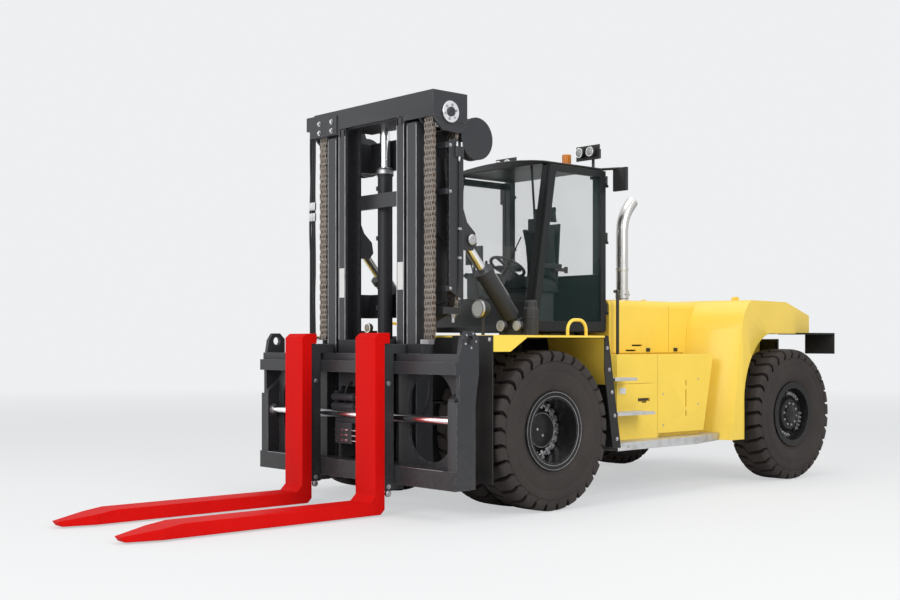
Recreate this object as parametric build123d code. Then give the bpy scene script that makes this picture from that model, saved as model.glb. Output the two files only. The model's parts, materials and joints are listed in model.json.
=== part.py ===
from build123d import *
import math
import os

# Millimetres. X runs forward, Y to the truck's left, Z up.
# Shapes are drawn from the drive axle's foot on the floor and moved to the part's origin when saved.

# Clearances
running = 0.3      # round a pin, a shaft or a roller
side = 6           # beside a moving eye or plate
seam = 2           # between panels

# Tyres and wheels
tyre_d = 1500
tyre_w = 400
tread_w = 300
lugs = 18          # round each shoulder
lug_gap = 46       # between two lugs at the tread
lug_depth = 60
bead_r = 330
bead_w = 280
flange_r = 365
rim_w = 376
rim_r = 300        # inside of the rim
wheelbase = 4080
outer_y = 1330     # middle of the outer drive tyre
twin_step = 460    # outer to inner drive tyre
steer_y = 1240     # middle of the steer tyre
kingpin_y = 1030
kingpin_r = 40
spindle_r = 150
steer_spindle_r = 110

# Axles
axle_z = tyre_d / 2
steer_x = -wheelbase
axle_tube_r = 190
axle_half = 630
gear_bowl_r = 300
lug_y = 490        # the mast's lugs on the axle
lug_t = 70

# Mast
mast_back = tyre_d / 2 + 35
mast_front = mast_back + 200
flange_t = 27
outer_in = 550     # outer rail, from its lips to its web's face
outer_out = 690
outer_web = 30
inner_in = 400
inner_out = 510
inner_web = 25
rail_low = 330
outer_top = 3620
inner_top = outer_top + 70
pivot_x = mast_back - 365
pivot_z = axle_z - 50
pivot_r = 60
cross_back = mast_back - 295
cross_front = cross_back + 50
sheave_x = mast_back + 5
sheave_z = inner_top + 10
sheave_r = 115
head_top = inner_top + 200
head_low = inner_top - 40
head_back = mast_back - 225
head_out = 925
chain_y = 820
chain_w = 120
chain_t = 50
chain_pitch = 50.8
chain_anchor_z = 1900
chain_low = 1600
lift_x = mast_back - 145
lift_y = 200
lift_r = 74
lift_rod_r = 52
lift_top = outer_top - 320
roller_x = mast_back + 100
roller_r = 73
hose_x = mast_back + 155
hose_r = 14

# Carriage and forks
bar_back = mast_front + 105
bar_front = bar_back + 160
carriage_half = 1520
end_w = 120        # width of the end posts
top_bar = (1290, 1470)
low_bar = (280, 450)
ear_top = 1670
ear_hole_z = 1590
ear_hole_r = 42
ear_t = 45
shaft_z = 880
shaft_r = 40
fork_face = bar_front + 240
fork_t = 116
fork_w = 290
fork_y = 565
fork_length = 2440
fork_top = 1660
fork_hook_z = 1562
blade_top = 132
blade_tip_z = 60

# Body
deck_z = tyre_d + 140
skin = 20
fender_half = outer_y + 170
fender_front = tyre_d / 2 + 20
fender_rear = -tyre_d / 2 + 30
flap_t = 12
box_half = 1200
box_low = 580
box_top = deck_z - 190
box_front = -tyre_d / 2 - 250
board_low = 500
hood_half = 740
hood_front = -1660
hood_top = deck_z + 395
hood_round = 85
hood_t = 25
stack_x = -2080
stack_y = 560
stack_r = 66
weight_low = 500
weight_top = deck_z + 410
weight_foot = steer_x + 1271    # front of the counterweight at its foot, beside the hood
weight_knee = weight_foot - 179  # where its front starts to round over
weight_knee_z = weight_top - 330
weight_brow = weight_foot - 421  # where its top starts
weight_half = 1350
weight_rear = steer_x - 920
flare = 0.305                   # how far the front runs back for each step outward
arch_z = deck_z + 40
box_rear_top = weight_foot - 51
box_rear_low = weight_foot + 134
frame_y = 340
frame_t = 40

# Cab
cab_half = 700
cab_low = deck_z + 40
cab_rear = -1600
cab_foot = -470                 # foot of the cab's front
cab_brow = -760                 # front of the roof
sill_z = cab_low + 320
rear_sill_z = cab_low + 620
roof_z = cab_low + 1720
crown = 80
post = 75
wall = 40
floor_t = 60
glass_t = 10
door_t = 40
door_gap = 5
hinge_spots = (cab_low + 220, cab_low + 970, cab_low + 1570)

# Tilt cylinders
tilt_y = 795
tilt_foot_x = -220
tilt_foot_z = deck_z + 100
tilt_pin_x = mast_back - 305
tilt_pin_z = tilt_foot_z + 800
tilt_barrel_r = 88
tilt_rod_r = 45
barrel_end = 700
eye_half = 48

axle_ahead = -(fork_face + fork_length + weight_rear) / 2
tyre_r = tyre_d / 2
rail_frame = frame_y + frame_t


def block(x, y, z):
    spans = (x, y, z)
    middle = [(low + high) / 2 for low, high in spans]
    return Pos(*middle) * Box(*[high - low for low, high in spans])


def across(outline, y_low, y_high):
    face = make_face(Polyline([(x, y_low, z) for x, z in outline], close=True))
    return extrude(face, amount=y_high - y_low, dir=(0, 1, 0))


def along(outline, x_low, x_high):
    face = make_face(Polyline([(x_low, y, z) for y, z in outline], close=True))
    return extrude(face, amount=x_high - x_low, dir=(1, 0, 0))


def upward(outline, z_low, z_high):
    face = make_face(Polyline([(x, y, z_low) for x, y in outline], close=True))
    return extrude(face, amount=z_high - z_low, dir=(0, 0, 1))


def bar(start, end, radius):
    run = Vector(*end) - Vector(*start)
    return Plane(origin=start, z_dir=run) * Cylinder(
        radius, run.length, align=(Align.CENTER, Align.CENTER, Align.MIN)
    )


def rod_y(x, z, radius, y_low, y_high):
    return bar((x, y_low, z), (x, y_high, z), radius)


def rod_z(x, y, radius, z_low, z_high):
    return bar((x, y, z_low), (x, y, z_high), radius)


def hex_y(x, z, radius, y_low, y_high):
    return Plane(origin=(x, y_low, z), z_dir=(0, 1, 0)) * extrude(RegularPolygon(radius, 6), y_high - y_low)


def pipe(points, radius, bend):
    path = FilletPolyline(*points, radius=bend)
    return sweep((path ^ 0) * Circle(radius), path=path)


def flip(shape):
    return mirror(shape, about=Plane.XZ)


def pair(shape):
    return [shape, flip(shape)]


def turned(outline, x, z):
    face = make_face(Polyline([(r, y, 0) for r, y in outline], close=True))
    return Pos(x, 0, z) * revolve(face, axis=Axis.Y)


def fused(shape, pieces):
    return shape.fuse(*[solid for piece in pieces for solid in piece.solids()])


def save(node, *shapes):
    solids = [Pos(axle_ahead, 0, 0) * solid for shape in shapes for solid in shape.solids()]
    whole = solids[0] if len(solids) == 1 else Compound(solids)
    export_step(whole, "parts/" + node + ".step")


os.makedirs("parts", exist_ok=True)

# Tyres: a drum with a flat for each lug, its shoulders notched between the lugs
flat = math.cos(math.pi / lugs)    # from the axle to a flat's middle, for a corner at 1


def drum(profile):
    turns = [2 * math.pi * step / lugs for step in range(lugs)]
    spokes = [[(r * math.cos(turn), y, r * math.sin(turn)) for r, y in profile] for turn in turns]
    faces = []
    for here, following in zip(spokes, spokes[1:] + spokes[:1]):
        for k in range(len(profile)):
            outline = Polyline([here[k - 1], here[k], following[k], following[k - 1]], close=True)
            faces.append(make_face(outline).face())
    return Solid(Shell(faces))


def notch(turn):
    mouth_y = tyre_w / 2 + 10
    root = tyre_r - lug_depth
    rim = root + 2 * lug_depth
    mouth = make_face(Polyline([(root, mouth_y, 0), (rim, mouth_y, lug_gap), (rim, mouth_y, -lug_gap)], close=True))
    run = Vector(lug_depth + 8, tread_w / 10 - mouth_y, 0)
    return Rot(0, turn, 0) * extrude(mouth, amount=run.length, dir=run.normalized())


half_section = [   # radius, distance from the tyre's middle
    (bead_r / flat + running, bead_w / 2), (flange_r + 20, 165), (560, tyre_w / 2), (tyre_r / flat, tread_w / 2),
]
tyre = drum(half_section + [(r, -y) for r, y in reversed(half_section)])
pitch = 360 / lugs
notches = [notch(pitch * step) for step in range(lugs)]
notches += [flip(notch(pitch * (step + 0.5))) for step in range(lugs)]
tyre = tyre.cut(*notches)

inner_y = outer_y - twin_step
drive_tyres = [Pos(0, y, axle_z) * tyre for y in (outer_y, inner_y)]
save("drive_tyres_left", *drive_tyres)
save("drive_tyres_right", *[flip(twin) for twin in drive_tyres])
steer_tyre = Pos(steer_x, steer_y, axle_z) * tyre
save("steer_tyre_left", steer_tyre)
save("steer_tyre_right", flip(steer_tyre))

# Wheels: rims, disc and hub are one turned piece, with a ring of studs
seat_r = bead_r - running


def rim(y):
    half = [(rim_r, rim_w / 2), (flange_r, rim_w / 2), (flange_r, 168), (seat_r, bead_w / 2)]
    return [(r, y - w) for r, w in half] + [(r, y + w) for r, w in reversed(half)]


def studs(x, ring_r, count, radius, y_low, y_high):
    turns = [2 * math.pi * step / count for step in range(count)]
    return [
        hex_y(x + ring_r * math.cos(turn), axle_z + ring_r * math.sin(turn), radius, y_low, y_high)
        for turn in turns
    ]


disc_y = outer_y - twin_step / 2
cover_y = outer_y + 20
hub = [
    (spindle_r, 640), (205, 640), (205, disc_y - 20), (302, disc_y - 20), (302, disc_y + 20),
    (240, disc_y + 20), (240, disc_y + 90), (190, disc_y + 90), (185, cover_y - 15), (165, cover_y),
    (0, cover_y), (0, disc_y + 40), (spindle_r, disc_y + 40),
]
spacer = [(299, inner_y), (312, inner_y), (312, outer_y), (299, outer_y)]
drive_wheel = turned(hub, 0, axle_z) + turned(spacer, 0, axle_z)
for y in (outer_y, inner_y):
    drive_wheel += turned(rim(y), 0, axle_z)
drive_wheel = fused(drive_wheel, studs(0, 270, 16, 18, disc_y + 15, disc_y + 70))
save("drive_wheel_left", drive_wheel)
save("drive_wheel_right", flip(drive_wheel))

steer_disc = steer_y + 60
steer_hub = [
    (steer_spindle_r, steer_y - 90), (170, steer_y - 90), (190, steer_disc - 20), (302, steer_disc - 20),
    (302, steer_disc + 20), (200, steer_disc + 20), (170, steer_disc + 80), (0, steer_disc + 80),
    (0, steer_disc + 10), (steer_spindle_r, steer_disc + 10),
]
steer_wheel = turned(steer_hub, steer_x, axle_z) + turned(rim(steer_y), steer_x, axle_z)
steer_wheel = fused(steer_wheel, studs(steer_x, 240, 20, 15, steer_disc + 15, steer_disc + 50))
save("steer_wheel_left", steer_wheel)
save("steer_wheel_right", flip(steer_wheel))

# Drive axle with its spindles, the bowl of its gears and the lugs that carry the mast
axle = rod_y(0, axle_z, axle_tube_r, -axle_half, axle_half) + rod_y(0, axle_z, gear_bowl_r, -170, 170)
axle_lug = [
    (0, axle_z - 190), (pivot_x, pivot_z - 95), (pivot_x + 90, pivot_z), (pivot_x, pivot_z + 95), (0, axle_z + 190),
]
for sign in (-1, 1):
    axle += rod_y(0, axle_z, spindle_r - running, sign * (axle_half - 10), sign * (disc_y + 20))
    axle += across(axle_lug, sign * lug_y - lug_t / 2, sign * lug_y + lug_t / 2)
    axle += rod_y(pivot_x, pivot_z, pivot_r - running, sign * (lug_y + 30), sign * 606)
save("drive_axle", axle)

# Steer axle: a closed beam with a fork at each end for the king pin
beam_in = kingpin_y - 110
steer_axle = block((steer_x - 130, steer_x + 130), (-beam_in, beam_in), (axle_z - 110, axle_z + 110))
steer_axle += block((steer_x - 180, steer_x + 180), (-480, 480), (axle_z - 150, axle_z + 150))
for sign in (-1, 1):
    fork_span = sorted((sign * (beam_in - 120), sign * (kingpin_y + 60)))
    for low, high in ((-175, -110), (110, 175)):
        steer_axle += block((steer_x - 75, steer_x + 75), fork_span, (axle_z + low, axle_z + high))
    steer_axle += rod_z(steer_x, sign * kingpin_y, kingpin_r - running, axle_z - 170, axle_z + 170)
steer_axle += block((steer_x - 90, steer_x + 90), (-frame_y, frame_y), (axle_z + 140, deck_z - 390))
save("steer_axle", steer_axle)

# Knuckles: a boss round the king pin and the spindle
knuckle = rod_z(steer_x, kingpin_y, 80, axle_z - 104, axle_z + 104)
knuckle += rod_y(steer_x, axle_z, 95, kingpin_y, steer_y - 96)
knuckle += rod_y(steer_x, axle_z, steer_spindle_r - running, steer_y - 100, steer_disc - 5)
knuckle -= rod_z(steer_x, kingpin_y, kingpin_r, axle_z - 200, axle_z + 200)
save("knuckle_left", knuckle)
save("knuckle_right", flip(knuckle))

# Frame: two side plates with an arch over the steer axle, bulkheads and the front deck
frame_nose, frame_low, frame_front_z, frame_top = 250, 480, axle_z + 230, deck_z - 240
frame_tail = weight_rear + 120
arch_top = axle_z + 312
frame_side = [
    (frame_nose, frame_front_z), (frame_nose, frame_top), (frame_tail, frame_top), (frame_tail, axle_z - 50),
    (steer_x - 420, axle_z - 50), (steer_x - 340, arch_top), (steer_x + 340, arch_top), (steer_x + 420, frame_low),
    (-700, frame_low), (-450, frame_front_z),
]
bulk_t = 40
bulkheads = (      # front, half width, top
    (frame_nose, 640, deck_z - 20), (-410, 640, deck_z - 20), (box_front + 60, 690, deck_z - 20),
    (weight_foot - 151, frame_y, frame_top + 2),
)
frame = block((cab_rear - 10, frame_nose), (-cab_half, cab_half), (deck_z - 30, deck_z))
for sign in (-1, 1):
    plate = sorted((sign * frame_y, sign * rail_frame))
    frame += across(frame_side, *plate)
    frame += block((-160, 160), plate, (axle_z + 110, frame_front_z + 10))
for front, half, top in bulkheads:
    frame += block((front - bulk_t, front), (-half, half), (frame_front_z + 20, top))
frame -= rod_y(0, axle_z, axle_tube_r + running, -axle_half - 10, axle_half + 10)
frame -= rod_y(0, axle_z, gear_bowl_r + 30, -175, 175)
save("chassis_frame", frame)

engine = block((weight_foot - 91, hood_front - 40), (-frame_y, frame_y), (900, hood_top - 185))
save("engine_block", engine)

# Fenders: a deck plate with a front skirt that slopes up along the wheel, and a hand loop
skirt_low = deck_z - 150
skirt = [
    (fender_front, skirt_low), (fender_front, deck_z - 5), (350, deck_z - 5), (350, deck_z - 25), (560, skirt_low),
]
fender = block((fender_rear, fender_front), (cab_half, fender_half), (deck_z - skin, deck_z))
fender += across(skirt, fender_half - skin, fender_half)
fender += block((fender_front - skin, fender_front), (950, fender_half), (skirt_low, deck_z))
loop_foot, loop_top, loop_y = deck_z - 10, deck_z + 150, fender_half - 100
loop_front, loop_rear = -300, -560
loop = [
    (loop_front, loop_y, loop_foot), (loop_front, loop_y, loop_top), (loop_rear, loop_y, loop_top),
    (loop_rear, loop_y, loop_foot),
]
fender += pipe(loop, 16, 100)
save("front_fender_left", fender)
save("front_fender_right", flip(fender))

# Flaps: one before and one behind the drive wheels, with an outer lip behind
flap_head, flap_foot, flap_foot_z = fender_rear - 55, box_front + 40, 540
front_flap = block((fender_front, fender_front + flap_t), (960, fender_half - 5), (300, deck_z - 5))
rear_slope = [
    (flap_head, deck_z), (flap_foot, flap_foot_z), (flap_foot + flap_t, flap_foot_z), (flap_head + flap_t, deck_z),
]
rear_flap = across(rear_slope, cab_half, fender_half)
lip = [
    (flap_head, deck_z - 25), (flap_foot, flap_foot_z), (flap_foot + 120, flap_foot_z), (fender_rear, deck_z - 340),
    (fender_rear, deck_z - 25),
]
rear_flap += across(lip, fender_half - flap_t, fender_half)
rear_flap += block((flap_head, fender_rear), (cab_half, fender_half), (deck_z - 25, deck_z - 4))

# Side boxes: tanks and battery beside the frame, cut slanting at the rear
box_plan = [
    (box_front, rail_frame), (box_front, cab_half - 10), (box_front - 250, box_half), (box_rear_top, box_half),
    (box_rear_top, rail_frame),
]
box_side = [(box_front, box_low), (box_front, box_top), (box_rear_top, box_top), (box_rear_low, box_low)]
side_box = upward(box_plan, box_low, box_top) & across(box_side, 0, box_half)
save("side_box_left", side_box)
save("side_box_right", flip(side_box))

# Counterweight: its front rounds over to the top and runs back to each side
brow_arc = ThreePointArc(
    (weight_knee, 0, weight_knee_z), (weight_knee - 75, 0, weight_knee_z + 185), (weight_brow, 0, weight_top)
)
weight_tail = weight_rear - 10
weight_edge = Polyline([
    (weight_brow, 0, weight_top), (steer_x - 70, 0, weight_top), (weight_tail, 0, weight_top - 184),
    (weight_tail, 0, weight_low),
    (weight_foot, 0, weight_low), (weight_knee, 0, weight_knee_z),
])
weight_face = make_face([brow_arc, weight_edge])
weight = Pos(0, -hood_half, 0) * extrude(weight_face, amount=2 * hood_half, dir=(0, 1, 0))
outward = Vector(-flare, 1, 0)
wing_run = outward * (weight_half - hood_half)
wing = extrude(Pos(0, hood_half, 0) * weight_face, amount=wing_run.length, dir=outward.normalized())
weight = fused(weight, pair(wing))
weight_plan = [
    (weight_foot + 50, weight_half), (weight_brow + 30, weight_half), (steer_x - 70, weight_half - 135),
    (weight_rear + 50, weight_half - 270), (weight_rear, weight_half - 450),
]
weight &= upward(weight_plan + [(x, -y) for x, y in reversed(weight_plan)], weight_low, weight_top)
arch_foot = steer_x + tyre_r + 95
arch_foot_z = axle_z + 100
arch_crown = steer_x + 230
arch_arc = ThreePointArc(
    (arch_foot, 0, arch_foot_z), (steer_x + tyre_r - 70, 0, arch_z - 280), (arch_crown, 0, arch_z)
)
arch_edge = Polyline([
    (arch_crown, 0, arch_z), (weight_tail, 0, arch_z), (weight_tail, 0, weight_low - 100),
    (arch_foot, 0, weight_low - 100), (arch_foot, 0, arch_foot_z),
])
arch = Pos(0, rail_frame, 0) * extrude(make_face([arch_arc, arch_edge]), amount=weight_half, dir=(0, 1, 0))
for half in pair(arch):
    weight -= half
weight -= across(frame_side, -rail_frame, rail_frame)
axle_room = [
    (steer_x + 440, weight_low - 100), (steer_x + 360, arch_top + 28), (steer_x - 360, arch_top + 28),
    (steer_x - 440, weight_low - 100),
]
weight -= across(axle_room, -rail_frame, rail_frame)
weight -= block((weight_foot - 391, weight_foot + 109), (-cab_half, cab_half), (frame_front_z + 10, frame_top + 2))
grille_half, grille_low, grille_high = 620, 760, 1620
weight -= block((weight_tail, weight_rear + 60), (-grille_half, grille_half), (grille_low, grille_high))
weight -= block((weight_tail, weight_rear + 160), (-90, 90), (560, 700))
tow_x = weight_rear + 80
weight -= rod_z(tow_x, 0, 40, weight_low - 50, 640)
eye_x, eye_y, eye_r = steer_x + 110, 700, 50
for y in (-eye_y, eye_y):
    weight += rod_y(eye_x, weight_top + 20, eye_r, y - 25, y + 25)
save("counterweight", weight)

# Running boards and two treads on each side
board_rear = weight_foot + seam
board_front = box_front + 15
board_half = fender_half - 60
board_tail = box_half + 15
board_plan = [
    (board_front, cab_half), (board_front, board_half), (hood_front - 640, board_half - 40),
    (board_rear - flare * (board_tail - hood_half), board_tail), (board_rear, hood_half), (board_rear, 500),
    (board_front - 15, 500),
]
board = upward(board_plan, board_low, box_low)
treads = []
tread_front = box_front + 10
for length, reach, z in ((340, 200, box_top - 230), (580, 235, box_low + 295)):
    rear, front = tread_front - length, tread_front
    tread = block((rear, front), (cab_half, box_half + reach), (z - 30, z))
    for step in range(4):
        y = box_half + 40 + step * 38
        tread -= block((rear + 30, front - 60), (y, y + 22), (z - 40, z + 10))
    treads.append(tread - side_box)
save("running_boards", *pair(board), *[half for tread in treads for half in pair(tread)])


# Hood: a rounded shell over the engine that ends at the counterweight's front
def hood_body(inset, x_low, x_high):
    half, top, bend = hood_half - inset, hood_top - inset, hood_round - inset
    corner_y, corner_z = half - bend, top - bend
    swell = bend * math.sqrt(0.5)
    arcs = [
        ThreePointArc(
            (x_low, sign * half, corner_z), (x_low, sign * (corner_y + swell), corner_z + swell),
            (x_low, sign * corner_y, top),
        )
        for sign in (-1, 1)
    ]
    lid = Line((x_low, -corner_y, top), (x_low, corner_y, top))
    walls = Polyline([
        (x_low, -half, corner_z), (x_low, -half, box_top), (x_low, half, box_top), (x_low, half, corner_z),
    ])
    return extrude(make_face([*arcs, lid, walls]), amount=x_high - x_low, dir=(1, 0, 0))


hood = hood_body(0, weight_brow, hood_front) - hood_body(hood_t, weight_foot - 95, hood_front - hood_t)
hood -= Pos(seam, -hood_half - 10, 0) * extrude(weight_face, amount=2 * hood_half + 20, dir=(0, 1, 0))
hood -= rod_z(stack_x, stack_y, stack_r + 14, hood_top - 135, hood_top + 65)
save("hood", hood)

# Exhaust: a stack through the hood with a bent tail cut upright, on a bracket off the engine
stack_foot, stack_bend, stack_tip = hood_top - 255, hood_top + 865, hood_top + 1155
stack = pipe(
    [(stack_x, stack_y, stack_foot), (stack_x, stack_y, stack_bend), (stack_x - 230, stack_y, stack_tip)], stack_r, 160
)
stack -= block(
    (stack_x - 500, stack_x - 190), (stack_y - 200, stack_y + 200), (stack_bend, stack_tip + 200)
)
stack += block((stack_x - 60, stack_x + 60), (frame_y, stack_y + 10), (stack_foot, stack_foot + 70))
save("exhaust_stack", stack)

# Rear grille: slats in a frame that fills the opening in the counterweight
grille_back = weight_rear + 27
grille = block((weight_rear, weight_rear + 30), (-grille_half, grille_half), (grille_low, grille_high))
grille -= block((weight_rear - 10, weight_rear + 40), (-570, 570), (grille_low + 40, grille_high - 40))
for step in range(11):
    z = grille_low + 76 + step * 70
    grille += block((weight_rear + 5, grille_back), (-580, 580), (z, z + 30))
grille += block((grille_back, weight_rear + 45), (-590, 590), (grille_low + 20, grille_high - 20))
save("rear_grille", grille)

# Rear mudguards over the back of the steered tyres
guard_rear = weight_rear + 15
guard = block((guard_rear, steer_x - 480), (900, 1400), (arch_z - 8, arch_z + 10))
guard += block((guard_rear - 13, guard_rear), (1000, 1400), (arch_z - 240, arch_z + 10))
guard -= weight
save("mudguards", *pair(front_flap), *pair(rear_flap), *pair(guard))

# Cab base: floor, front wall, rear wall and four feet
slope = (cab_brow - cab_foot) / (roof_z - cab_low)


def front_x(z):
    return cab_foot + slope * (z - cab_low)


front_wall = [
    (cab_foot - wall, cab_low), (cab_foot, cab_low), (front_x(sill_z), sill_z), (front_x(sill_z) - wall, sill_z),
]
base = block((cab_rear, cab_foot), (-cab_half, cab_half), (cab_low, cab_low + floor_t))
base += across(front_wall, -cab_half, cab_half)
base += block((cab_rear, cab_rear + wall), (-cab_half, cab_half), (cab_low, rear_sill_z))
for x in (cab_rear + 150, cab_foot - 250):
    for y in (-500, 500):
        base += rod_z(x, y, 60, deck_z, cab_low + 10)
save("cab_base", base)

# Cab roof: crowned across, with a brow over the windscreen
roof_rise = 25
roof_arc = ThreePointArc(
    (0, -cab_half, roof_z + roof_rise), (0, 0, roof_z + crown), (0, cab_half, roof_z + roof_rise)
)
roof_rim = Polyline([
    (0, cab_half, roof_z + roof_rise), (0, cab_half, roof_z), (0, -cab_half, roof_z),
    (0, -cab_half, roof_z + roof_rise),
])
roof_length = cab_brow - cab_rear + 55
roof = Pos(cab_rear - 15, 0, 0) * extrude(make_face([roof_arc, roof_rim]), amount=roof_length, dir=(1, 0, 0))
save("cab_roof", roof)

# Cab glass: windscreen and rear window
clear = cab_half - post - seam
screen_back = 35
screen = [
    (front_x(z) - screen_back + step, z)
    for z, step in ((sill_z, 0), (sill_z, glass_t), (roof_z, glass_t), (roof_z, 0))
]
rear_window = block((cab_rear + 15, cab_rear + 15 + glass_t), (-clear, clear), (rear_sill_z, roof_z))
save("cab_glass", across(screen, -clear, clear), rear_window)

# Doors hang outside the posts on hinges behind the rear post, glazed from top to bottom
door_in = cab_half + door_gap
door_out = door_in + door_t
hinge_x = cab_rear - 22
hinge_y = door_in + door_t / 2
hinge_r = 20
hinge_pin_r = 10
hinge_h = 90
hinge_room = 37    # cut out of the door round each bracket
bracket_t = 30
door_low = cab_low + 12
door_high = roof_z - 10
door_front = -6
door_edge = [
    (cab_rear, door_low), (cab_foot + door_front, door_low), (front_x(sill_z) + door_front, sill_z + 1),
    (front_x(door_high) + door_front, door_high), (cab_rear, door_high),
]
window_rear, window_front = cab_rear + 80, -90
window_low, window_high = door_low + 100, door_high - 70
window = [
    (window_rear, window_low), (front_x(window_low) + window_front, window_low),
    (front_x(window_high) + window_front, window_high), (window_rear, window_high),
]
door = across(door_edge, door_in, door_out) - across(window, door_in - 10, door_out + 10)
for z in hinge_spots:
    door += rod_z(hinge_x, hinge_y, hinge_r, z, z + hinge_h)
    door += block((hinge_x, cab_rear + 30), (hinge_y - 15, hinge_y + 15), (z, z + hinge_h))
    door -= rod_z(hinge_x, hinge_y, hinge_pin_r, z - 10, z + hinge_h + 10)
    door -= rod_z(hinge_x, hinge_y, hinge_room, z - bracket_t - side, z)
save("cab_door_left", door)
save("cab_door_right", flip(door))
pane = across(window, door_in + 15, door_in + 15 + glass_t)
save("door_glass_left", pane)
save("door_glass_right", flip(pane))

# Posts: slanted ones in front, round-backed ones behind that carry the hinge pins
front_post = [
    (front_x(sill_z) - post, sill_z), (front_x(sill_z), sill_z), (front_x(roof_z), roof_z),
    (front_x(roof_z) - post, roof_z),
]
rear_post = block((cab_rear, cab_rear + post), (cab_half - post, cab_half), (rear_sill_z, roof_z))
rear_post += block((cab_rear - 20, cab_rear), (cab_half - 60, cab_half), (cab_low, roof_z))
for z in hinge_spots:
    rear_post += block((hinge_x - hinge_r, cab_rear), (cab_half - 60, hinge_y + hinge_r), (z - bracket_t, z - 1))
    rear_post += rod_z(hinge_x, hinge_y, hinge_pin_r - running, z - 20, z + hinge_h - 5)
save("cab_posts", *pair(across(front_post, cab_half - post, cab_half)), *pair(rear_post))

# Seat with a back and a headrest, its stand, the arm box and the steering column with its wheel
cab_floor = cab_low + floor_t
seat_x = cab_rear + 180             # back edge of the cushion
seat_z = cab_floor + 380
back_z = seat_z + 740
seat = block((seat_x, seat_x + 540), (-260, 260), (seat_z, seat_z + 120))
back = [(20, seat_z + 80), (130, seat_z + 80), (50, back_z), (-50, back_z)]
neck = [(-5, back_z - 20), (30, back_z - 20), (20, back_z + 40), (-10, back_z + 40)]
rest = [(-20, back_z + 10), (35, back_z + 10), (20, back_z + 200), (-30, back_z + 200)]
for outline, half in ((back, 250), (neck, 60), (rest, 140)):
    seat += across([(seat_x + x, z) for x, z in outline], -half, half)
save("operator_seat", seat)
seat_stand = block((seat_x + 40, seat_x + 470), (-190, 190), (cab_floor, seat_z))
arm_box = block((seat_x + 120, seat_x + 620), (-560, -330), (cab_floor, seat_z + 210))
hand_x, hand_z = seat_x + 550, seat_z + 260
wheel_plane = Plane(origin=(hand_x, 0, hand_z), z_dir=(-0.5, 0, 0.866))
grip_r, grip_t = 190, 16
grip = [(grip_r - grip_t, -8), (grip_r, -grip_t), (grip_r + grip_t, -8), (grip_r + grip_t, 8), (grip_r, grip_t)]
grip.append((grip_r - grip_t, 8))
grip_ring = revolve(make_face(Polyline([(r, 0, z) for r, z in grip], close=True)), axis=Axis.Z)
column_x = hand_x + 190
column = rod_z(column_x, 0, 80, cab_floor, cab_floor + 160)
column += bar((column_x, 0, cab_floor + 60), (column_x - 65, 0, cab_floor + 420), 55)
column += bar((column_x - 55, 0, cab_floor + 380), (hand_x - 2, 0, hand_z + 3), 35)
column += wheel_plane * (grip_ring + Box(2 * grip_r, 40, 14) + Box(40, 2 * grip_r, 14))
save("cab_console", seat_stand, arm_box, column)

# Tilt cylinder: a clevis on the deck, a barrel, a rod with its eye between the ears on the mast
tilt_reach = math.hypot(tilt_pin_x - tilt_foot_x, tilt_pin_z - tilt_foot_z)
tilt_x = (tilt_pin_x - tilt_foot_x) / tilt_reach
tilt_rise = (tilt_pin_z - tilt_foot_z) / tilt_reach
eye_gap = eye_half + side
foot_pin_r = 35
ear_pin_r = 36


def on_tilt(reach):
    return (tilt_foot_x + tilt_x * reach, tilt_y, tilt_foot_z + tilt_rise * reach)


clevis = [
    (tilt_foot_x - 120, deck_z), (tilt_foot_x + 120, deck_z), (tilt_foot_x + 70, tilt_foot_z + 50),
    (tilt_foot_x, tilt_foot_z + 80), (tilt_foot_x - 70, tilt_foot_z + 50),
]
ears = rod_y(tilt_foot_x, tilt_foot_z, foot_pin_r - running, tilt_y - 100, tilt_y + 100)
for y in (tilt_y - eye_gap - 30, tilt_y + eye_gap):
    ears += across(clevis, y, y + 30)
save("tilt_clevises", *pair(ears))

barrel = rod_y(tilt_foot_x, tilt_foot_z, 72, tilt_y - eye_half, tilt_y + eye_half)
barrel += bar(on_tilt(0), on_tilt(140), 46)
barrel += bar(on_tilt(132), on_tilt(barrel_end), tilt_barrel_r)
barrel += bar(on_tilt(barrel_end - 60), on_tilt(barrel_end), tilt_barrel_r + 10)
barrel -= rod_y(tilt_foot_x, tilt_foot_z, foot_pin_r, tilt_y - 100, tilt_y + 100)
barrel -= bar(on_tilt(150), on_tilt(barrel_end + 10), tilt_rod_r)
save("tilt_barrel_left", barrel)
save("tilt_barrel_right", flip(barrel))

tilt_rod = bar(on_tilt(365), on_tilt(tilt_reach - 40), tilt_rod_r - running)
tilt_rod += rod_y(tilt_pin_x, tilt_pin_z, 66, tilt_y - eye_half, tilt_y + eye_half)
tilt_rod -= rod_y(tilt_pin_x, tilt_pin_z, ear_pin_r, tilt_y - 100, tilt_y + 100)
save("tilt_rod_left", tilt_rod)
save("tilt_rod_right", flip(tilt_rod))


# Outer mast: channels open to the middle, carried back by side plates to the cross-members
def rail(lip, web, web_t, z_low, z_high):
    solid = block((mast_back, mast_front), (lip, web), (z_low, z_high))
    return solid - block((mast_back + flange_t, mast_front - flange_t), (lip - 1, web - web_t), (z_low - 1, z_high + 1))


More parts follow.
